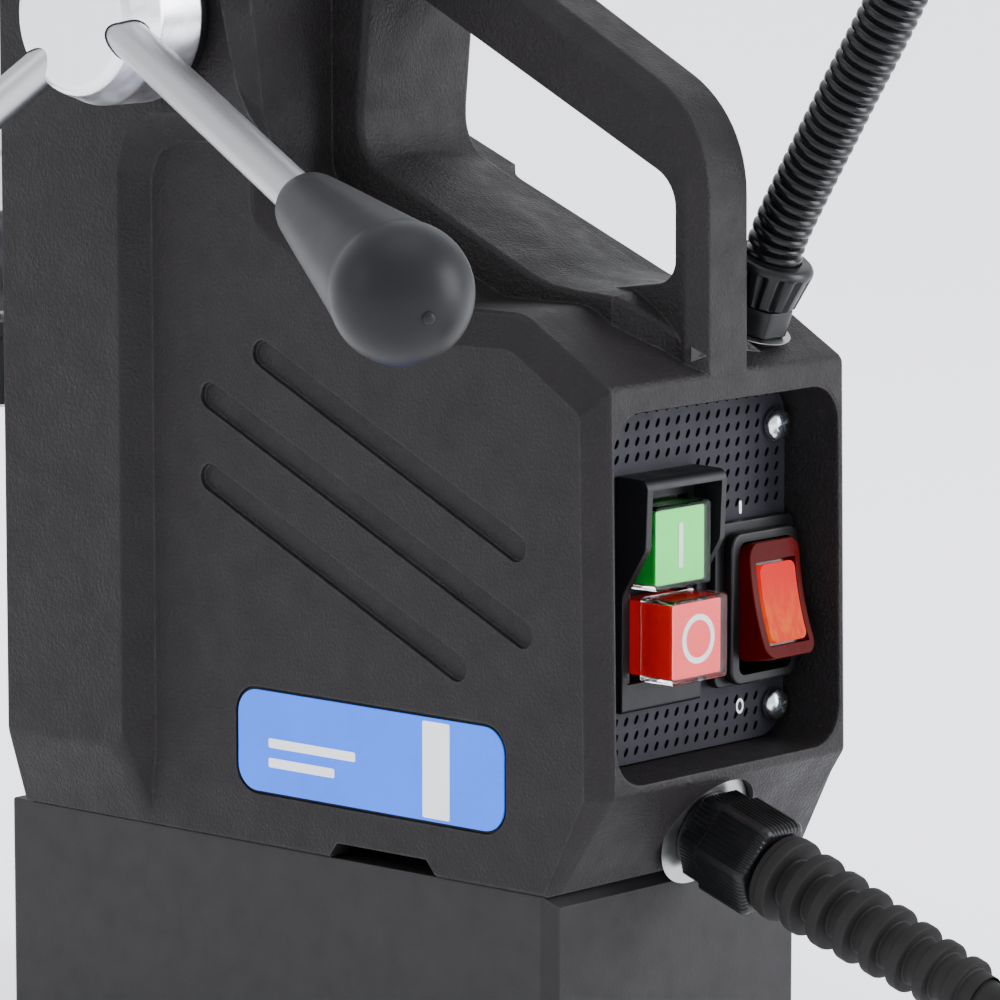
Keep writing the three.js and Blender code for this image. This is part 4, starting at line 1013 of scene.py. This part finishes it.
rocker = rocker_body()
r = ROCKER
well = prism("y", tipped([(6.6, -9.7), (14, -9.7), (14, 8.2), (6.6, 8.2)]), r["y"] - 6.3, r["y"] + 6.5)
cut(rocker, well)
finished(rocker, "rocker_shell", ROCKER_RED, "rocker", ["magnet_rocker"], 40)
finished(rocker_window(), "rocker_lens", ROCKER_LIT, "rocker", sharp=40)
well_floor = prism("y", tipped([(6.2, -9.5), (6.7, -9.5), (6.7, 8), (6.2, 8)]), r["y"] - 6.2, r["y"] + 6.4)
finished(well_floor, "rocker_well", surface("rocker_well", (0.05, 0.003, 0.003), 0.3), "rocker")


# ------------------------------------------------------------------ mains lead, coil, plug and strain relief
def coil_turns():
    """Three layers: inwards on the floor, back out on top, and one above that climbs to the plug."""
    radii = [60, 51, 42, 42, 51, 60, 51, 60]
    shift_at = [270, 270, 270, 90, 90, 270, 270]
    rise_at = {2: 180, 5: 0}
    start, step = LEAD["diameter"] / 2, LEAD["step"]
    points, level = [], 0
    climb = 0
    for turn in range(7):
        for degree in range(0, 360, 6):
            share = min(1, max(0, (degree - shift_at[turn]) / 90))
            share = share * share * (3 - 2 * share)
            radius = radii[turn] + (radii[turn + 1] - radii[turn]) * share
            rise = min(1, max(0, (degree - rise_at[turn]) / 90)) if turn in rise_at else 0
            a = math.radians(degree - 90)
            if turn == 6 and degree > 225:
                climb += LEAD["climb"]
            z = start + step * (level + rise * rise * (3 - 2 * rise)) + climb
            points.append(Vector((LEAD["x"] + radius * math.cos(a), LEAD["y"] + radius * math.sin(a), z)))
        level += turn in rise_at
    return points


PLUG_BACK = Vector((LEAD["x"] + LEAD["plug"][0], LEAD["y"] + LEAD["plug"][1], LEAD["plug"][2]))
LEAD_ROUTE = [
    along(GLAND, 14), Vector((118, 1.5, 45.8)), Vector((140, 1.5, 38.25)), Vector((162, 1.5, 30.7)),
    Vector((180, 1.5, 23.9)), Vector((198, 1.5, 16.2)), Vector((214, 1.5, 9.8)), Vector((226, 1.5, 6.2)),
    Vector((240.5, 1.5, 4.7)), Vector((258, 1.5, 4.5)),
]
LEAD_END = [
    Vector((275, 1.5, 36.2)), Vector((283.5, 2.0, 37.9)), Vector((294, 4.9, 40)),
    Vector((303.5, 10.6, 41.9)),
    Vector((311.2, 18.4, 43.5)), Vector((316.2, 27.6, 44.7)), Vector((318, 37, 45.3)),
    PLUG_BACK + Vector((0, 6, 0)),
]


lead_line = smooth_line(LEAD_ROUTE + coil_turns() + LEAD_END, 3.2)
lead = finished(
    swept(lead_line, [LEAD["diameter"] / 2] * len(lead_line), 18),
    "mains_lead", RUBBER, "frame", ["mains_cable", "mains_coil"], 80, False)


def plug_piece():
    """A straight rubber plug: ribbed sleeve, waisted grip with finger ridges and round face; the two pins
    are made after it.
    """
    profile = [(0, 0), (5.6, 0)]
    for k in range(5):
        profile += [(6.2 + 0.25 * k, 0.6 + 2.3 * k), (6.2 + 0.25 * k, 1.9 + 2.3 * k),
                    (5.2 + 0.25 * k, 2.1 + 2.3 * k)]
    profile += [(7.2, 13), (10.6, 17.6), (14.2, 22.6), (17.2, 27.6), (18.4, 31)]
    for k in range(4):
        profile += [(18.5, 33 + 3.2 * k), (17.7, 33.8 + 3.2 * k), (17.7, 35.2 + 3.2 * k),
                    (18.5, 36 + 3.2 * k)]
    profile += [(18.5, 48), (17, 50), (0, 50)]
    return lathed(eased(profile, 0.5, 2), PLUG_BACK, (0, 1, 0), 56)


plug = finished(plug_piece(), "lead_plug", RUBBER, "frame", ["mains_plug"])
for i, x in enumerate((-9.5, 9.5)):
    pin = lathed(eased([(0, 0), (2.4, 0), (2.4, 19.5), (0, 19.5)], 1.1, 4), PLUG_BACK + Vector((x, 49, 0)),
                 (0, 1, 0), 28)
    finished(pin, f"plug_pin_{i + 1}", ZINC, "frame")


def tie_piece(degree):
    """A flat strap round the coil's band, with its buckle on top."""
    a = math.radians(degree)
    out = Vector((math.cos(a), math.sin(a), 0))
    along_band = Vector((-math.sin(a), math.cos(a), 0))
    centre = Vector((LEAD["x"], LEAD["y"], 0))
    outer = rectangle(36.6, 65.4, 0, 27.4, 4.5, 6)
    inner = rectangle(37.8, 64.2, 1.2, 26.2, 3.8, 6)

    def ring(outline, width):
        return [
            [centre + out * u + Vector((0, 0, v)) + along_band * w for u, v in outline]
            for w in (-width, width)
        ]
    strap = draft(skin(ring(outer, 3.5)))
    strap = cut(strap, draft(skin(ring(inner, 5))))
    buckle = draft(skin(ring(rectangle(47, 55, 25.6, 29.4, 1, 3), 4.4)))
    return join(strap, buckle)


for i, degree in enumerate((135, 215)):
    finished(tie_piece(degree), f"coil_tie_{i + 1}", BLACK, "frame")


def relief_piece():
    """A bend protector: thick round discs on a thinner core, tapering towards the lead."""
    first, last, pitch = 20.6, 78.6, 6.9

    def radius(t):
        return 9.35 - 0.048 * (t - first)
    profile = [(4.6, first), (radius(first) - 1.1, first), (radius(first) - 0.5, first + 0.5)]
    face = 25.2
    while face < last:
        r = radius(face)
        profile += [(r - 0.3, face - 2.9), (r, face - 2.6), (r, face - 0.3), (r - 0.3, face)]
        if face + 3 < last:
            core = max(5.2, r - 4.1)
            profile += [(core, face + 0.1), (core, face + pitch - 3)]
        face += pitch
    profile += [(4.6, face - pitch), (4.6, first)]
    body = lathed([(4.6, first)] + eased(profile[1:-1], 0.3, 1)[1:-1] + [(4.6, face - pitch), (4.6, first)],
                  GLAND["at"], GLAND["way"], 48)
    return body


relief = finished(relief_piece(), "bend_protector", RUBBER, "frame", ["strain_relief"], 38)


def ribbed_hex(place, start, length, flats, bore, teeth, tooth, rounding=0.5, dome=0):
    """A hexagon nut whose flats are finely ribbed lengthwise; dome rounds off its outer end."""
    corner = flats / math.sqrt(3)
    turn = Vector((0, 0, 1)).rotation_difference(place["way"])
    outline = []
    for side in range(6):
        a0, a1 = math.radians(60 * side + 30), math.radians(60 * side + 90)
        p0 = Vector((corner * math.cos(a0), corner * math.sin(a0)))
        p1 = Vector((corner * math.cos(a1), corner * math.sin(a1)))
        inward = -(p0 + p1).normalized()
        outline.append(p0.lerp(p1, 0.035))
        for k in range(teeth):
            for share, deep in ((0.12, 0), (0.32, 1), (0.68, 1), (0.88, 0)):
                t = 0.1 + 0.8 * (k + share) / teeth
                outline.append(p0.lerp(p1, t) + inward * tooth * deep)
        outline.append(p0.lerp(p1, 0.965))
    rows = [(0, 1 - rounding / corner), (rounding, 1), (length - rounding - dome, 1)]
    for k in range(1, 6):
        t = k / 5
        rows.append((length - rounding - dome + (rounding + dome) * math.sin(t * math.pi / 2),
                     1 - (rounding + dome * 0.8) / corner * (1 - math.cos(t * math.pi / 2))))
    sections = []
    for height, scale in rows:
        ring = []
        for p in outline:
            reach = min(p.length * scale, corner * 0.965)
            q = p.normalized() * reach
            ring.append(along(place, start + height) + turn @ Vector((q.x, q.y, 0)))
        sections.append(ring)
    return cut(draft(skin(sections)), rod(bore, along(place, start - 1), place["way"], length + 2, 32))


GLAND_BORE = 5.2
SPOT_DEPTH = 0.12  # how far the bare metal round a fitting stands out of the coat


def gland_piece():
    sleeve = washer(GLAND_BORE, 7.9, 13, along(GLAND, -12), GLAND["way"], 40)
    collar = washer(GLAND_BORE, 8.5, 1.6, along(GLAND, 0.3), GLAND["way"], 40)
    body = ribbed_hex(GLAND, 1.7, 5, 18.4, GLAND_BORE, 8, 0.22, 0.3)
    waist = washer(GLAND_BORE, 9.3, 0.9, along(GLAND, 6.4), GLAND["way"], 40)
    return join(sleeve, collar, body, waist, ribbed_hex(GLAND, 7.0, 13, 20, GLAND_BORE, 8, 0.3, 0.3, 2))


finished(gland_piece(), "gland_body", BLACK, "frame", ["cable_gland"], 30)
for place, inner, outer, name in ((GLAND, 8.3, 12.7, "gland_spot"), (OUTLET, 6.1, 8.4, "outlet_spot")):
    spot = washer(inner, outer, SPOT_DEPTH, along(place, 0), place["way"], 64)
    finished(spot, name, BARE, "frame", weighted=False)


# ------------------------------------------------------------------ corrugated conduit to the motor
CONDUIT_MIDDLE = [
    (91.2, 20, 182.2), (106.2, 20.3, 207.5), (118.9, 20.8, 228.8), (130, 22, 252), (138, 23.5, 281),
    (139.5, 25, 313), (131, 26, 346), (108, 26.5, 379), (72, 26, 405), (28, 25, 421.5), (-18, 23, 427),
    (-50, 21, 422),
]
conduit_route = [along(OUTLET, 5.3), along(OUTLET, 15.5)] + [Vector(p) for p in CONDUIT_MIDDLE]
conduit_route += [along(MOTOR_OUTLET, 22), along(MOTOR_OUTLET, 7)]


def conduit_pieces():
    """Broad flat ribs a pitch apart with narrow grooves between them."""
    waves = [0, 0.35, 0.95, 1, 1, 0.95, 0.35]
    line = smooth_line(conduit_route, CONDUIT["pitch"] / len(waves))
    crest = CONDUIT["radius"]
    radii = [crest - 1.05 + 1.05 * waves[i % len(waves)] for i in range(len(line))]
    tube = finished(swept(line, radii, 26), "conduit", GLOSS_BLACK, None,
                    ["motor_conduit"], 80, False)
    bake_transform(tube)


conduit_pieces()


OUTLET_BORE = 4.4


def outlet_fitting():
    sleeve = washer(OUTLET_BORE, 5.7, 12, along(OUTLET, -10), OUTLET["way"], 32)
    return join(sleeve, ribbed_hex(OUTLET, 0.3, 6.1, 7.5 * math.sqrt(3), OUTLET_BORE, 1, 0.01))


def fluted_nut(place, start, length, low, high, bore, flutes):
    """A cone nut with broad flat ribs, narrow grooves between them and a rounded plain rim."""
    turn = Vector((0, 0, 1)).rotation_difference(place["way"])
    rows = [(0, -0.5, 0), (0.35, -0.1, 1), (length - 2.4, 0, 1), (length - 1.9, 0.05, 0),
            (length - 1.2, 0, 0),
            (length - 0.5, -0.45, 0), (length, -1.2, 0)]
    sections = []
    for height, offset, depth in rows:
        ring = []
        base = low + (high - low) * min(1, height / (length - 2)) + offset
        for k in range(flutes * 8):
            a = 2 * math.pi * k / (flutes * 8)
            groove = (0, 0, 0, 0, 0, 0.5, 1, 0.5)[k % 8]
            r = base - 0.8 * depth * groove
            ring.append(along(place, start + height) + turn @ Vector((r * math.cos(a), r * math.sin(a), 0)))
        sections.append(ring)
    return cut(draft(skin(sections)), rod(bore, along(place, start - 1), place["way"], length + 2, 40))


finished(outlet_fitting(), "outlet_fitting", BLACK, "frame", ["conduit_fitting"], 30)
finished(fluted_nut(OUTLET, 6.7, 9.7, 7.6, 9.1, CONDUIT["radius"] + 0.15, 14), "outlet_nut", BLACK, "frame",
         ["conduit_nut"], 40)
finished(fluted_nut(MOTOR_OUTLET, 6.3, 14, 9.6, 10.5, 6.8, 16), "motor_outlet_nut", BLACK, "carriage",
         ["motor_fitting"], 40)


# ------------------------------------------------------------------ gearbox, motor and spindle
NOSE_STEPS = 40  # sides of the half circle at the front of the gearbox


def gearbox_plan(grow):
    t = TOOL
    back = t["back"] - (1.6 if grow < 0 else 0)
    front, rear = t["front"] + grow, t["rear"] + grow
    arc = []
    for k in range(NOSE_STEPS + 1):
        a = math.radians(90 + 180 * k / NOSE_STEPS)
        arc.append((t["x"] + front * math.cos(a), front * math.sin(a), 0))
    soft = 3 if grow >= 0 else 1
    rest = [(t["middle"], -rear, 6), (back, -rear, soft), (back, rear, soft), (t["middle"], rear, 6)]
    return rounded(arc + rest, 5)


def gearbox_piece():
    x, low, high, middle = TOOL["x"], TOOL["low"], TOOL["high"], TOOL["middle"]
    body = prism("z", gearbox_plan(0), low, high, 1.2, 3, 40)
    band = prism("z", gearbox_plan(0), high - 9, high, 0.6, 2, 40)
    waist = draft(skin([[Vector((u, v, z)) for u, v in gearbox_plan(g)]
                        for z, g in ((low + 12, 0.2), (low + 13.5, -1), (high - 12, -1),
                                     (high - 9.5, 0.2))]))
    shell = prism("z", gearbox_plan(3), low + 12, high - 9.6)
    cut(shell, waist)
    cut(body, shell)
    join(body, band)
    neck = lathed(eased([(0, 150), (24, 150), (24, 172), (27, 176), (0, 176)], 1.2, 3), (x, 0, 0),
                  (0, 0, 1), 72)
    join(body, neck)
    ribs = []
    for a in (105, 150, 210, 255):
        t = math.radians(a)
        way = Vector((math.cos(t), math.sin(t), 0))
        across = Vector((-way.y, way.x, 0))
        place = Vector((x, 0, 0))
        outline = [(22, 154), (24.6, 154), (32.4, 176), (22, 176)]
        ribs.append(draft(skin([[place + way * u + Vector((0, 0, v)) + across * w for u, v in outline]
                                for w in (-2, 2)])))
    join(body, *ribs)
    return cut(
        body,
        prism("z", gearbox_plan(-5), low + 7, high + 1),
        rod(17, (x, 0, 153), (0, 0, 1), 30, 48), rod(12, (x, 0, 149), (0, 0, 1), 6, 48),
        rod(4.15, (middle, 0, low + 2.5), (0, 0, 1), 6, 24),
    )


def gearbox_cover_piece():
    high, low_motor = TOOL["high"], MOTOR["low"]
    plate = prism("z", gearbox_plan(0), high + 0.3, low_motor - 0.3, 0.9, 3, 40)
    spigot = rod(30, (MOTOR["x"], 0, high + 0.3), (0, 0, 1), low_motor + 1.2 - high, 64)
    join(plate, spigot)
    return cut(plate, rod(8, (MOTOR["x"], 0, high - 1), (0, 0, 1), 14, 32),
               rod(4.15, (TOOL["middle"], 0, high - 1), (0, 0, 1), 6, 24))


def socket_screw(place, way, radius, height, key, head_only=0):
    """A cap screw's head with a hexagon socket."""
    start, turn = Vector(place), Vector((0, 0, 1)).rotation_difference(Vector(way).normalized())
    profile = [(0, -head_only), (radius, -head_only), (radius, height), (0, height)]
    head = lathed(eased(profile, 0.4, 3), start, way, 32)
    ring = [start + turn @ Vector((key * math.cos(math.radians(60 * k)),
                                   key * math.sin(math.radians(60 * k)), 0))
            for k in range(6)]
    lift = turn @ Vector((0, 0, 1))
    recess = draft(skin([[p + lift * h for p in ring] for h in (height * 0.35, height + 1)]))
    return cut(head, recess)


finished(gearbox_piece(), "gearbox_casting", ALLOY, "carriage", ["gearbox_housing"], 35)
finished(gearbox_cover_piece(), "gearbox_lid", ALLOY, "carriage", ["gearbox_cover"], 35)
cover_screws = [(-159.5, 14.5), (-159.5, -14.5), (-84, 20.5), (-84, -20.5)]
for i, (x, y) in enumerate(cover_screws):
    screw = socket_screw((x, y, MOTOR["low"] - 0.4), (0, 0, 1), 2.6, 2.8, 1.3, 1)
    finished(screw, f"cover_screw_{i + 1}", ZINC, "carriage", sharp=35)


def slots(count, low, high, width=4):
    """Round-ended cutters through the motor's wall, on both sides."""
    tools = []
    for side in (0, 180):
        for k in range(count):
            a = math.radians(90 + side + (k - (count - 1) / 2) * 16)
            way = Vector((math.cos(a), math.sin(a), 0))
            across = Vector((-way.y, way.x, 0))
            centre = Vector((MOTOR["x"], 0, 0))
            outline = capsule((0, low + width / 2), (0, high - width / 2), width / 2 - 0.05, 6)
            tools.append(draft(skin([[centre + way * r + across * u + Vector((0, 0, v)) for u, v in outline]
                                     for r in (29, 43)])))
    return tools


def motor_piece():
    m = MOTOR
    r, low, high = m["radius"], m["low"], m["high"]
    profile = [(34, low), (r - 0.4, low), (r, low + 0.6), (r, low + 3.2), (r - 1.1, low + 4.2),
               (r - 1.1, low + 16.5),
               (r, low + 17.5)]
    for k in range(5):
        z = low + 30 + 5 * k
        profile += [(r, z), (r - 0.9, z + 0.8), (r - 0.9, z + 2), (r, z + 2.8)]
    profile += [(r, high - 4), (r - 0.7, high - 3.3), (r - 0.7, high - 0.4), (r - 1.1, high), (34, high),
                (34, low)]
    tube = lathed([(34, low)] + eased(profile[1:-1], 0.35, 2) + [(34, low)], (m["x"], 0, 0), (0, 0, 1), 96)
    brushes = [rod(6.3, (m["x"], s * 20, 327), (0, s, 0), 30, 40) for s in (-1, 1)]
    flats = [box(m["x"] - 9, m["x"] + 9, *sorted((s * 36.8, s * 45)), 317, 337, 0.2) for s in (-1, 1)]
    return cut(tube, *slots(4, 248, 256), *flats, *brushes)


def motor_cap_piece():
    m = MOTOR
    r, start, height = m["radius"], m["high"] + 0.3, m["top"] - m["high"] - 0.3
    dome = [(r, 0.5), (r, height - 14)]
    for k in range(1, 9):
        a = math.radians(90 * k / 9)
        dome.append((r - 9 + 9 * math.cos(a), height - 14 + 14 * math.sin(a)))
    profile = [(34, 0), (r - 0.5, 0)] + dome + [(r - 10, height), (r - 15, height), (r - 15.8, height - 0.8),
                                                (r - 21, height - 0.8), (r - 21.6, height), (0, height)]
    profile += [(0, height - 5), (r - 12, height - 5), (34, height - 16), (34, 0)]
    shell = lathed(profile, (m["x"], 0, start), (0, 0, 1), 96)
    boss_profile = eased([(0, 0), (12, 0), (12, 16), (0, 16)], 0.8, 3)
    boss = lathed(boss_profile, along(MOTOR_OUTLET, -10), MOTOR_OUTLET["way"], 40)
    seat = rod(9, (m["x"], 0, 380), (0, 0, 1), 15, 32)
    join(shell, boss, seat)
    return cut(shell, rod(4.15, (m["x"], 0, 370), (0, 0, 1), 19, 24),
               rod(5, along(MOTOR_OUTLET, -20), MOTOR_OUTLET["way"], 30, 32), *slots(5, 350, 368, 3.4))


finished(motor_piece(), "motor_shell", BLACK, "carriage", ["motor_housing"], 35)
finished(motor_cap_piece(), "motor_dome", BLACK, "carriage", ["motor_cap"], 35)
for i in range(4):
    a = math.radians(45 + 90 * i)
    place = (MOTOR["x"] + 26 * math.cos(a), 26 * math.sin(a), MOTOR["top"] - 3.4)
    finished(socket_screw(place, (0, 0, 1), 2.7, 3.2, 1.4, 1), f"cap_screw_{i + 1}", ZINC, "carriage",
             sharp=35)


def brush_cap_piece(side):
    outer = rod(6, (MOTOR["x"], side * 20, 327), (0, side, 0), 15, 40)
    knob = lathed(eased([(0, 34.5), (6, 34.5), (6, 37), (5.4, 37.8), (0, 37.8)], 0.3, 2),
                  (MOTOR["x"], 0, 327), (0, side, 0), 40)
    y = sorted((side * 36.6, side * 40))
    carrier = box(MOTOR["x"] - 3, MOTOR["x"] + 3, *sorted((side * 12.4, side * 21)), 324, 330)
    return cut(join(outer, knob, carrier), box(MOTOR["x"] - 7, MOTOR["x"] + 7, *y, 326.3, 327.7))


for side, word in ((-1, "near"), (1, "far")):
    finished(brush_cap_piece(side), f"brush_holder_{word}", GLOSS_BLACK, "carriage",
             [f"brush_cap_{word}"], 35)


def spindle_piece():
    """The arbor: a ground nose with a bore and a narrow groove, a shoulder and the shaft above it."""
    x, base = TOOL["x"], 128
    profile = [(9.55, 0.5), (10.2, 0), (18.2, 0), (18.9, 0.7), (19, 1.4), (19, 15), (18.4, 15.4),
               (18.4, 16.2), (19, 16.6),
               (19, 19.4), (18.4, 20), (10, 20), (10, 69.5), (0, 69.5), (0, 50), (9.55, 50), (9.55, 0.5)]
    body = lathed(profile, (x, 0, base), (0, 0, 1), 96)
    flat = box(x - 20, x + 20, 17.6, 22, base + 6, base + 14)
    return cut(body, rod(4.3, (x, -5, base + 10), (0, -1, 0), 20, 32), flat)


finished(spindle_piece(), "arbor_spindle", STEEL, "spindle", ["spindle"], 35)
finished(socket_screw((TOOL["x"], -10.4, 138), (0, -1, 0), 4, 7.2, 2.2, 0), "arbor_grub", BLACK, "spindle",
         ["arbor_screw"], 35)


# ------------------------------------------------------------------ dovetail slide
def slide_piece():
    plan = [(-79, -28), (-72.7, -28), (-72.7, -21.3), (-58, -29.7), (-58, 25.9), (-72.7, 17.5), (-72.7, 28),
            (-79, 28)]
    return prism("z", plan, 170, 345, 0.35, 2, 20)


finished(slide_piece(), "dovetail_slide", STEEL, "carriage", ["carriage_slide"], 35)


# ------------------------------------------------------------------ parts kept from the frame
for i, z in enumerate((110, 200)):
    screw = socket_screw((-65, 41.4, z), (0, 1, 0), 2.4, 3.6, 1.2, 13.6)
    finished(screw, f"gib_bolt_{i + 1}", ZINC, "frame", [f"gib_screw_{i + 1}"], 35)
GEAR_STEEL = surface("gear_steel", (0.42, 0.42, 0.44), 0.34, 1, grain=0.4, bump=0.12, depth=0.02,
                     uneven=0.06)
LAMINATED = surface("laminated_steel", (0.3, 0.3, 0.32), 0.42, 1, grain=0.5, bump=0.3, depth=0.06,
                    stretch=(30, 30, 1))
KEPT = {
    "magnet_coil": COPPER, "coil_potting": RESIN, "gib_strip": BRONZE, "shaft_bush_near": BRONZE,
    "shaft_bush_far": BRONZE, "circuit_board": BOARD, "feed_shaft": STEEL, "feed_rack": GEAR_STEEL,
    "spindle_bearing_lower": STEEL, "spindle_bearing_upper": STEEL, "field_stator": LAMINATED,
    "armature_shaft": STEEL, "armature_core": LAMINATED, "commutator": COPPER, "cooling_fan": GREY,
    "intermediate_gear": GEAR_STEEL, "spindle_gear": GEAR_STEEL,
}
for name, material in KEPT.items():
    NODES[name].data.materials.clear()
    NODES[name].data.materials.append(material)


# ------------------------------------------------------------------ floor and light
def floor_material():
    made, tree, principled, place = shader("floor")
    tone = ranged(tree, noise(tree, place, 900, 3), 0, 1)
    tree.links.new(mixed(tree, tone, (0.9, 0.91, 0.94), (0.94, 0.95, 0.98)), principled.inputs["Base Color"])
    tree.links.new(ranged(tree, noise(tree, place, 60, 3), 0.6, 0.7), principled.inputs["Roughness"])
    principled.inputs["Emission Color"].default_value = (0.97, 0.97, 1, 1)
    principled.inputs["Emission Strength"].default_value = 1.0
    return made


floor_mesh = bpy.data.meshes.new("floor")
FLOOR_HALF, FLOOR_LEVEL = 14, -0.0003  # metres
FLOOR_CORNERS = ((-1, -1), (1, -1), (1, 1), (-1, 1))
floor_mesh.from_pydata([(u * FLOOR_HALF, v * FLOOR_HALF, FLOOR_LEVEL) for u, v in FLOOR_CORNERS], [],
                       [(0, 1, 2, 3)])
floor = link("floor", floor_mesh)
floor_mesh.materials.append(floor_material())

world = bpy.data.worlds.new("studio")
bpy.context.scene.world = world
world.use_nodes = True
world.node_tree.nodes["Background"].inputs["Color"].default_value = (0.93, 0.95, 1, 1)
world.node_tree.nodes["Background"].inputs["Strength"].default_value = 1.6


def softbox(name, location, target, size, power, color=(1, 1, 1)):
    data = bpy.data.lights.new(name, "AREA")
    data.shape = "RECTANGLE"
    data.size, data.size_y = size
    data.energy = power
    data.color = color
    lamp = bpy.data.objects.new(name, data)
    lamp.location = location
    lamp.rotation_euler = (Vector(target) - Vector(location)).to_track_quat("-Z", "Y").to_euler()
    bpy.context.scene.collection.objects.link(lamp)


softbox("key_above", (0.25, -0.1, 1.7), (0, 0, 0.2), (1.3, 1.1), 9, (0.97, 0.98, 1))
softbox("rear_side", (1.5, 1.0, 0.6), (0.05, 0, 0.12), (0.9, 1.1), 42, (0.95, 0.96, 1))
softbox("left_side", (-0.7, -1.5, 0.8), (0, 0, 0.15), (0.8, 1.0), 5, (1, 0.98, 0.96))
